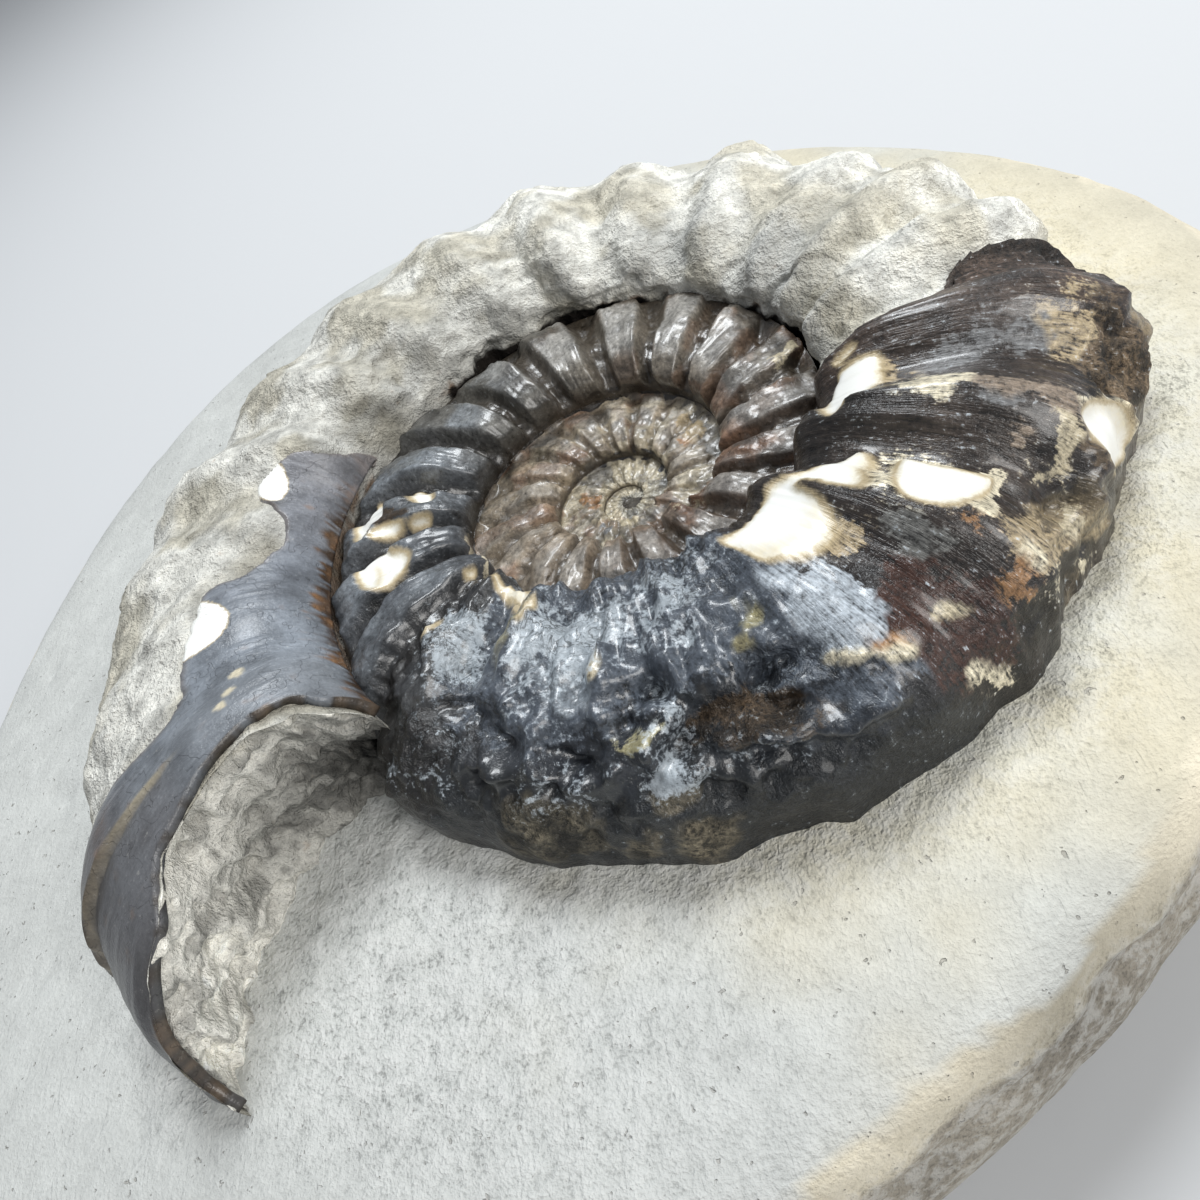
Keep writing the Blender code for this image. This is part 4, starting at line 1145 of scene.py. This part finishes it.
# The crack between the cast and the coil: angle and width in millimetres
CRACK = (
    (62, 0.0), (75, 0.15), (94, 0.25), (99, 0.8), (103, 0.9), (107, 0.3), (114, 0.25), (119, 0.6),
    (128, 0.75), (135, 0.45), (142, 0.25), (160, 0.2), (185, 0.25), (196, 0.6), (206, 0.7), (214, 0.5),
    (222, 0.2),
)
# Grey films of shell left on the cast
CAST_FILMS = (
    ((146, 0.13), (146, 0.3), (150, 0.36), (155, 0.28), (160, 0.4), (164, 0.3), (168, 0.14)),
    ((176, 0.1), (178, 0.3), (184, 0.42), (189, 0.48), (193, 0.34), (199, 0.3), (202, 0.12)),
    ((64, 0.1), (62, 0.18), (68, 0.2), (75, 0.17), (82, 0.14), (86, 0.1)),
)
# Painted shade: the cast's left part, which faces away from the light, is darkened.
CAST_PAINTED_SHADE = ((0, 0.80), (70, 0.80), (130, 0.98), (200, 1.0))
# Pale beads along the rim's ledge, partly their own colour and partly painted light on the ledge's top.
RIM_BEADS_AND_LIGHT = (0.86, 0.83, 0.74)


def cast_relief(angle, across, points, sizes):
    """Height of the cast's surface over the smooth whorl, let down under the coil and the shell."""
    fade = smooth_share(across / 0.2) * (0.3 + 0.7 * smooth_share((1 - across) / 0.2))
    ribs = rib_swing(angle) * (rib_wave(angle, across) ** 1.1 - 0.5) * sizes.rib_height * fade
    grains = 0.15 * MM * rough(points, 0.8 * MM, 83, 2) + 0.20 * MM * rough(points, 2.4 * MM, 89)
    worn = grains * (0.6 + 0.4 * step_up(abs(across - 0.45), 0.05, 0.3))
    worn -= 0.5 * MM * over(points, 1.9 * MM, 97, 0.30)
    worn += 0.26 * MM * step_up(noise(points, 4 * MM, 101) + 0.3 * noise(points, 1.2 * MM, 103), 0.05, 0.14)
    past = angle - track(COIL_EDGE, across)
    shelled = step_up(depth_inside(angle, across, SHELL_OUTLINE), 0.1 * MM, 0.8 * MM)
    calm = 1 - 0.7 * np.maximum(step_up(past, -1.5, 0.4), shelled)
    hidden = 0.7 * MM * step_up(past, 0.4, 2.4) + 0.30 * MM * shelled
    return ribs + worn * sizes.weathering * calm - hidden


def face_points(depth, across, sizes):
    """The broken stone face in the mouth, from the rim at depth 0 to the slab at depth 1."""
    rim_angle = track(MOUTH_RIM, across)
    relief = functools.partial(cast_relief, rim_angle, across, sizes=sizes)
    rim = whorl_surface(rim_angle, across, CAST_TUCK, relief)
    toe = bearing(track(MOUTH_TOE, across)) * np.hypot(rim[:, 0], rim[:, 1])[:, None]
    toe[:, 2] = -0.6 * MM
    fall = np.clip((depth - 0.06) / 0.94, 0, 1)
    points = laid(rim, toe, fall**0.8)
    points[:, 2] = rim[:, 2] * (1 - fall) ** 1.15 + toe[:, 2] * fall
    forward = -bearing(rim_angle)[:, [1, 0, 2]] * (-1, 1, 1)
    points += forward * (0.7 * MM * step_up(depth, 0.0, 0.10) * (1 - fall))[:, None]
    lumps = 0.60 * MM * rough(points, 0.9 * MM, 131) + 0.80 * MM * rough(points, 3.2 * MM, 137)
    lumps -= 0.90 * MM * over(points, 1.4 * MM, 139, 0.15)
    return points + forward * (lumps * np.minimum(1, depth * 8))[:, None]


def cast_tone(angle, across, points, on_face, depth, crack, colours):
    """Colours of the cast and of the broken face in its mouth, with painted shade on the cast's left part, in
    the face's hollow and on the face beside the coil.
    """
    grain = rough(points, 0.9 * MM, 141)
    pale = step_up(rough(points, 3.5 * MM, 143), -0.45, 0.35)
    tone = laid(np.array(colours.cast_warm), colours.cast_pale, pale)
    # Painted shade on the left part; the stone is also darker along the inner side near the crack.
    tone *= (track(CAST_PAINTED_SHADE, angle) * (1 - 0.22 * bell(across - 0.12, 0.14)))[:, None]
    # Painted shade in the hollow of the broken face and on its part beside the coil.
    hollow_shade = on_face * bell(depth - 0.62, 0.22) * step_up(0.55 - across, -0.1, 0.15)
    hollow_shade = np.clip(hollow_shade * (0.55 + 0.5 * grain), 0, 0.75)
    sheltered_shade = on_face * 0.42 * (1 - step_up(across, 0.2, 0.5))
    tone = varied(np.where(on_face[:, None], colours.mouth_stone, tone), 0.34 * grain - hollow_shade - sheltered_shade)
    pitted = noise(points, 0.6 * MM, 145) + 0.8 * rough(points, 2.6 * MM, 147, 2)
    tone = varied(tone, -0.4 * on_face * step_up(pitted, 0.22, 0.55))
    # Pale beads on the ledge, partly painted light on its top.
    beads_and_light = on_face * bell(depth - 0.055, 0.045) * (1 + 0.8 * noise(points, 0.9 * MM, 149))
    tone = laid(tone, RIM_BEADS_AND_LIGHT, np.clip(beads_and_light, 0, 1))
    film = step_up(deepest(angle, across, CAST_FILMS) + 0.8 * MM * grain, -0.3 * MM, 0.5 * MM)
    tone = laid(tone, FILM, 0.35 * film * ~on_face)
    rust = bell(across - 0.02, 0.045) * step_up(angle, -2, 8) * (1 - step_up(angle, 50, 68))
    rust = np.maximum(rust, bell(across, 0.028) * step_up(angle, 58, 90) * 0.55) * ~on_face
    tone = laid(tone, varied(colours.rust, 0.5 * grain - 0.4), 0.8 * step_up(rust + 0.5 * grain, 0.45, 0.9))
    # Painted shade: the crack between the cast and the coil laid near black.
    crack_shade = bell(across, 0.016) * step_up(crack, 0.1 * MM, 0.3 * MM) + 0.35 * grain
    return laid(tone, colours.crack_shade, step_up(crack_shade, 0.50, 0.85) * ~on_face)


def build_cast(sizes, colours):
    mesh, along, across = grid_mesh("cast_form", FACE_ROWS + CAST_ROWS, CAST_COLUMNS)
    on_face = along < FACE_SHARE
    run = np.clip((along - FACE_SHARE) / (1 - FACE_SHARE), 0, 1)
    start = track(MOUTH_RIM, across)
    angle = start + (CAST_END - start) * run
    relief = functools.partial(cast_relief, angle, across, sizes=sizes)
    body = whorl_surface(angle, across, CAST_TUCK, relief)
    crack = track(CRACK, angle) * MM
    shy = bell(np.maximum(0, across - 0.015), 0.03) * crack * (1 + 1.1 * rough(body, 1.2 * MM, 109))
    body += bearing(angle) * np.maximum(0, shy)[:, None]
    depth = np.clip(1 - along / FACE_SHARE, 0, 1)
    points = np.where(on_face[:, None], face_points(depth, across, sizes), body)
    set_points(mesh, points)
    set_surface_map(mesh, angle / 360, across)
    set_tone(mesh, cast_tone(angle, across, points, on_face, depth, crack, colours))
    bm = bmesh.new()
    bm.from_mesh(mesh)
    close_below(bm, SUNK)
    bmesh.ops.translate(bm, verts=bm.verts, vec=AXIS)
    material = paint_cast(colours)
    return finish_piece(bm, "body_chamber_cast_stone", "body_chamber_cast", material)


def paint_cast(colours):
    g = Graph("cast limestone")
    fine = g.noise(0.28 * MM, detail=2, roughness=0.7)
    grit = g.noise(0.85 * MM, detail=4, roughness=0.75)
    stone = g.shade(g.tone(), 0.25 + fine * 0.8 + grit * 0.75)
    stone = g.mix((grit * 0.6 + fine * 0.5).step(0.63, 0.72) * 0.5, stone, colours.fleck)
    normal = g.bump(grit + fine * 0.45, 0.48 * MM)
    return g.finish(stone, 0.9, normal, Specular_IOR_Level=0.25)


# ---------------------------------------------------------------- outer shell at the mouth


SHELL_TONES = (
    (-12, (0.110, 0.115, 0.125)), (2, (0.170, 0.185, 0.205)), (12, (0.195, 0.217, 0.247)),
    (30, (0.195, 0.213, 0.243)), (46, (0.200, 0.207, 0.228)), (66, (0.190, 0.187, 0.195)),
)
SHELL_FOOT = 0.985  # share across the whorl where the shell ends
LAYER_EDGE = 2.0  # angle where the top layer of the shell ends, short of the rim
LAYER_LINE, LOWER_LAYER, FLAP = (0.36, 0.312, 0.216), (0.070, 0.055, 0.048), (0.062, 0.044, 0.036)
WORN_EDGE, LIP = (0.16, 0.12, 0.09), (0.050, 0.040, 0.032)
DARK_FLANK = (0.060, 0.066, 0.072)
SHELL_FLECKS = (
    (CREAM, 0.3 * MM, ((8.8, 0.30), (7.6, 0.285), (7.0, 0.31), (8.2, 0.325))),
    (CREAM, 0.3 * MM, ((5.6, 0.325), (4.6, 0.315), (4.3, 0.34), (5.2, 0.35))),
    (CREAM, 0.2 * MM, ((4.0, 0.35), (3.2, 0.345), (3.0, 0.36), (3.6, 0.365))),
)


def shell_relief(angle, along, across, points, sizes):
    """Height of the whole shell over the smooth whorl, thinned along its rim."""
    ribs = rib_swing(angle) * (rib_wave(angle, across) - 0.5) * sizes.rib_height * smooth_share(across / 0.2)
    lines = 0.04 * MM * noise(strand_places(angle, across, 0.7, 4), 1.0, 163)
    thinned = 0.30 * MM * step_up(across, 0.50, 0.70) * (1 - step_up(along, 0.0, 0.022))
    return sizes.shell_thickness + ribs + lines + 0.10 * MM * rough(points, 3.5 * MM, 167, 2) - thinned


def shell_tone(angle, along, across, points, depth, layer_edge, colours):
    """Grey shell: dark flank, brown flap, lower layer at the rim, rust at the seam and a worn edge."""
    wander, lower_layer, flap = layer_edge
    grain = rough(points, 1.0 * MM, 171)
    tone = varied(track(SHELL_TONES, angle), 0.35 * grain + 0.25 * rough(points, 4 * MM, 173, 2))
    dark = step_up(across + 0.05 * grain, 0.50, 0.72) * (1 - step_up(angle, 9, 20))
    edge_line = 0.8 * bell(angle - LAYER_EDGE - 0.1 - wander, 0.22) * step_up(across, 0.40, 0.46)
    tone = laid(laid(tone, DARK_FLANK, dark), LAYER_LINE, edge_line)
    tone = laid(tone, LOWER_LAYER, 0.35 * lower_layer)
    tone = laid(tone, varied(FLAP, 0.5 * grain), 0.65 * flap)
    flecked, covered = lay_marks(tone, angle, across, SHELL_FLECKS, grain)
    tone = laid(tone, flecked, covered)
    fibres = noise(strand_places(angle, across, 1 / 1.5, 9), 1.0, 177)
    rust = step_up(bell(across - 0.03, 0.040) * (1 + 0.4 * fibres) + 0.2 * fibres + 0.4 * grain, 0.25, 0.9)
    rusty = varied(colours.rust, 0.9 * np.clip(grain + 0.4 * fibres, 0, 1.3) - 0.78)
    tone = laid(tone, rusty, rust * (1 - 0.75 * step_up(angle, 44, 58)))
    tone = laid(tone, WORN_EDGE, 0.45 * bell(depth - 0.08 * MM, 0.12 * MM))
    speck = np.clip(grain - 0.35, 0, 1)[:, None]
    lip = step_up(0.0035 - along, -0.002, 0.002) * step_up(grain, -0.4, 0.3)
    return laid(tone, np.array(LIP) + 3 * speck * BROWN, lip)


def build_shell(sizes, colours):
    mesh, along, share = grid_mesh("shell_form", SHELL_ROWS, SHELL_COLUMNS)
    across = SHELL_START + (SHELL_FOOT - SHELL_START) * share
    rim = track(MOUTH_RIM, across) + 1.6 * bell(across - 0.22, 0.12)
    angle = rim + (SHELL_END - rim) * along
    strip = strand_places(angle, across, 2.5, 18)
    depth = depth_inside(angle, across, SHELL_OUTLINE) + 0.22 * MM * rough(strip, 1.3, 151, 2)
    wander = 0.4 * noise(strip, 2.0, 155)
    lower_layer = step_up(LAYER_EDGE + wander - angle, -0.15, 0.15) * step_up(across, 0.40, 0.46)
    flap = (1 - lower_layer) * step_up(across, 0.46, 0.60) * (1 - step_up(angle, 5.5, 9.0))
    layers = 0.40 * MM * flap - 0.22 * MM * lower_layer

    def relief(points):
        surface = shell_relief(angle, along, across, points, sizes) + layers
        return surface + (BURIED - surface) * step_up(-depth, -0.06 * MM, 0.22 * MM)

    points = whorl_surface(angle, across, CAST_TUCK, relief)
    set_points(mesh, points)
    set_surface_map(mesh, angle / 360, across)
    set_amount(mesh, "white", deepest(angle, across, SHELL_WHITE) / MM)
    set_tone(mesh, shell_tone(angle, along, across, points, depth, (wander, lower_layer, flap), colours))
    set_amount(mesh, "depth", depth)
    bm = bmesh.new()
    bm.from_mesh(mesh)
    layer = bm.verts.layers.float["depth"]
    outside = [face for face in bm.faces if all(vert[layer] < -0.5 * MM for vert in face.verts)]
    bmesh.ops.delete(bm, geom=outside, context="FACES")
    bmesh.ops.translate(bm, verts=bm.verts, vec=AXIS)
    piece = finish_piece(bm, "mouth_shell_strip", "mouth_shell", paint_shell(colours))
    wall = piece.modifiers.new("wall", "SOLIDIFY")
    wall.thickness = sizes.shell_thickness + SHELL_ROOT
    wall.offset = -1
    wall.use_even_offset = False
    return piece


def paint_shell(colours):
    g = Graph("grey shell")
    fine = g.noise(0.22 * MM, detail=2, roughness=0.7)
    lines = g.noise(vector=g.stretch(g.map, (700, 26, 1)), detail=3, roughness=0.7)
    cracks = g.folded(g.noise(2.6 * MM, detail=3, roughness=0.6)).step(0.975, 0.995)
    body = g.shade(g.tone(), 0.35 + lines * 0.7 + fine * 0.6 - cracks * 0.22)
    sparkle = (fine * 0.8 + lines * 0.3).step(0.66, 0.80)
    body = g.mix(sparkle * 0.35, body, colours.silver_sheen)
    white_field = g.amount("white") + (fine - 0.5) * 0.3
    body = g.mix(white_field.step(-0.15, 0.05), body, colours.calcite_rim)
    white = white_field.step(-0.04, 0.08)
    body = g.mix(white, body, colours.white_calcite)
    normal = g.bump(lines * 0.8 + fine * 0.8 - cracks * 0.4, 0.06 * MM)
    roughness = 0.28 + fine * 0.2 + white * 0.1
    return g.finish(body, roughness, normal, Specular_IOR_Level=0.5, Coat_Weight=0.15, Coat_Roughness=0.2)


# ---------------------------------------------------------------- stage

CAMERA_FROM_AXIS = (0.00759, -0.03794, 0.03704)
# Radians: round the vertical, below the level and round the line of sight
CAMERA_BEARING, CAMERA_DIP, CAMERA_ROLL = 0.32201, 0.82340, -0.62754
CAMERA_LENS = 27.11
FLOOR_SIZE = 5.0


def turn_camera():
    """The camera's axes from its bearing, its dip and its roll."""
    level = Euler((math.pi / 2 - CAMERA_DIP, 0, CAMERA_BEARING)).to_matrix()
    return level @ Matrix.Rotation(CAMERA_ROLL, 3, "Z")


def add_light(name, place, target, size, power, colour):
    data = bpy.data.lights.new(name, "AREA")
    data.shape = "DISK"
    data.size = size
    data.energy = power
    data.color = colour
    light = bpy.data.objects.new(name, data)
    light.location = place
    light.rotation_euler = (Vector(target) - Vector(place)).to_track_quat("-Z", "Y").to_euler()
    bpy.context.scene.collection.objects.link(light)


def build_stage(colours):
    bm = bmesh.new()
    bmesh.ops.create_grid(bm, x_segments=1, y_segments=1, size=FLOOR_SIZE / 2)
    mesh = bpy.data.meshes.new("floor")
    bm.to_mesh(mesh)
    bm.free()
    g = Graph("plain floor")
    mesh.materials.append(g.finish(colours.floor, 0.9, g.bump(g.noise(3 * MM), 0.02 * MM)))
    floor = bpy.data.objects.new("floor", mesh)
    bpy.context.scene.collection.objects.link(floor)
    centre = (0.0, 0.0, 0.01)
    add_light("window", (0.10, 0.24, 0.46), centre, 0.20, 2.25, (0.94, 0.975, 1.0))
    add_light("fill", (0.42, -0.32, 0.42), centre, 0.36, 2.7, (1.0, 0.985, 0.96))
    world = bpy.data.worlds.new("soft studio")
    world.use_nodes = True
    world.node_tree.nodes["Background"].inputs["Color"].default_value = (0.80, 0.84, 0.90, 1)
    world.node_tree.nodes["Background"].inputs["Strength"].default_value = 0.34
    bpy.context.scene.world = world
    data = bpy.data.cameras.new("camera")
    data.sensor_width = 36.0
    data.lens = CAMERA_LENS
    data.clip_start = 0.001
    camera = bpy.data.objects.new("camera", data)
    camera.matrix_world = Matrix.Translation(Vector(AXIS) + Vector(CAMERA_FROM_AXIS)) @ turn_camera().to_4x4()
    bpy.context.scene.collection.objects.link(camera)
    bpy.context.scene.camera = camera
    bpy.context.scene.view_settings.view_transform = "Standard"


# ---------------------------------------------------------------- settings, operators and panel


def colour_setting(name, description, default):
    """A colour that a user may change."""
    limits = {"subtype": "COLOR", "min": 0, "max": 1}
    return FloatVectorProperty(name=name, description=description, default=default, **limits)


class FossilSizes(bpy.types.PropertyGroup):
    """Relief and thickness that a user may change."""

    rib_height: FloatProperty(
        name="Rib height", description="Height of the ribs, against the real specimen's",
        default=1.0, min=0.0, max=2.0, subtype="FACTOR",
    )
    weathering: FloatProperty(
        name="Weathering", description="Depth of the broken and worn stone, against the real one's",
        default=1.0, min=0.0, max=2.0, subtype="FACTOR",
    )
    shell_thickness: FloatProperty(
        name="Shell thickness", description="How far the outer shell stands off the cast",
        default=0.32 * MM, min=0.1 * MM, max=0.6 * MM, unit="LENGTH",
    )


class FossilColours(bpy.types.PropertyGroup):
    """Colours of the stones, the shell and the floor."""

    limestone: colour_setting("Limestone", "Cool pale stone of the nodule", (0.53, 0.54, 0.52))
    limestone_warm: colour_setting("Warm limestone", "Creamier stone of the nodule", (0.50, 0.47, 0.385))
    weathered_edge: colour_setting("Weathered edge", "Tan band round the shoulder", (0.56, 0.51, 0.40))
    weathered_side: colour_setting("Weathered side", "Grey-brown side of the nodule", (0.30, 0.27, 0.22))
    stone_dust: colour_setting("Stone dust", "Powdered stone round the fossil", (0.70, 0.70, 0.68))
    fleck: colour_setting("Fleck", "Dark grains in the stone", (0.20, 0.18, 0.15))
    cast_pale: colour_setting("Pale cast", "Lightest stone of the cast", (0.78, 0.77, 0.71))
    cast_warm: colour_setting("Warm cast", "Tan stone of the cast", (0.58, 0.55, 0.46))
    mouth_stone: colour_setting("Mouth stone", "Broken stone inside the mouth", (0.84, 0.82, 0.75))
    # Silver sheen is painted glint and sheen: flecks on the coil and sparkles on the shell.
    silver_sheen: colour_setting("Silver sheen", "Pale fibres on the dark shell", (0.46, 0.45, 0.41))
    # Painted shade in the crack between the cast and the coil.
    crack_shade: colour_setting("Crevice", "Dark mineral in the seams", (0.012, 0.009, 0.007))
    white_calcite: colour_setting("White calcite", "Clean white calcite", (0.90, 0.90, 0.86))
    cream_calcite: colour_setting("Cream calcite", "Cloudy cream calcite", (0.66, 0.58, 0.40))
    calcite_rim: colour_setting("Calcite rim", "Stained rim of the white patches", (0.50, 0.40, 0.24))
    rust: colour_setting("Rust", "Iron stain along the seam", (0.19, 0.10, 0.045))
    floor: colour_setting("Floor", "Plain pale floor", (0.60, 0.61, 0.62))


class FOSSIL_OT_matrix(bpy.types.Operator):
    """Build the limestone nodule with its tooled moat and weathered edge"""

    bl_idname = "fossil.matrix"
    bl_label = "Limestone matrix"

    def execute(self, context):
        build_matrix(context.scene.fossil_sizes, context.scene.fossil_colours)
        return {"FINISHED"}


class FOSSIL_OT_coil(bpy.types.Operator):
    """Build the ribbed coil of dark calcite"""

    bl_idname = "fossil.coil"
    bl_label = "Calcite coil"

    def execute(self, context):
        build_coil(context.scene.fossil_sizes, context.scene.fossil_colours)
        return {"FINISHED"}


class FOSSIL_OT_cast(bpy.types.Operator):
    """Build the stone cast of the body chamber and the broken face in its mouth"""

    bl_idname = "fossil.cast"
    bl_label = "Body chamber cast"

    def execute(self, context):
        build_cast(context.scene.fossil_sizes, context.scene.fossil_colours)
        return {"FINISHED"}


class FOSSIL_OT_shell(bpy.types.Operator):
    """Build the strip of outer shell at the mouth"""

    bl_idname = "fossil.shell"
    bl_label = "Mouth shell"

    def execute(self, context):
        build_shell(context.scene.fossil_sizes, context.scene.fossil_colours)
        return {"FINISHED"}


class FOSSIL_OT_stage(bpy.types.Operator):
    """Build the floor, the light and the camera"""

    bl_idname = "fossil.stage"
    bl_label = "Stage"

    def execute(self, context):
        build_stage(context.scene.fossil_colours)
        return {"FINISHED"}


OPERATORS = (FOSSIL_OT_matrix, FOSSIL_OT_coil, FOSSIL_OT_cast, FOSSIL_OT_shell, FOSSIL_OT_stage)


class FOSSIL_PT_panel(bpy.types.Panel):
    """Lists the pieces that can be built"""

    bl_idname = "FOSSIL_PT_panel"
    bl_label = "Ammonite"
    bl_space_type = "VIEW_3D"
    bl_region_type = "UI"
    bl_category = "Ammonite"

    def draw(self, context):
        for operator in OPERATORS:
            self.layout.operator(operator.bl_idname)
        for group in (context.scene.fossil_sizes, context.scene.fossil_colours):
            for setting in group.__annotations__:
                self.layout.prop(group, setting)


CLASSES = (FossilSizes, FossilColours, *OPERATORS, FOSSIL_PT_panel)


def register():
    for cls in CLASSES:
        bpy.utils.register_class(cls)
    bpy.types.Scene.fossil_sizes = PointerProperty(type=FossilSizes)
    bpy.types.Scene.fossil_colours = PointerProperty(type=FossilColours)


def unregister():
    del bpy.types.Scene.fossil_colours
    del bpy.types.Scene.fossil_sizes
    for cls in reversed(CLASSES):
        bpy.utils.unregister_class(cls)


def main():
    register()
    bpy.ops.fossil.matrix()
    bpy.ops.fossil.coil()
    bpy.ops.fossil.cast()
    bpy.ops.fossil.shell()
    bpy.ops.fossil.stage()


if __name__ == "__main__":
    main()
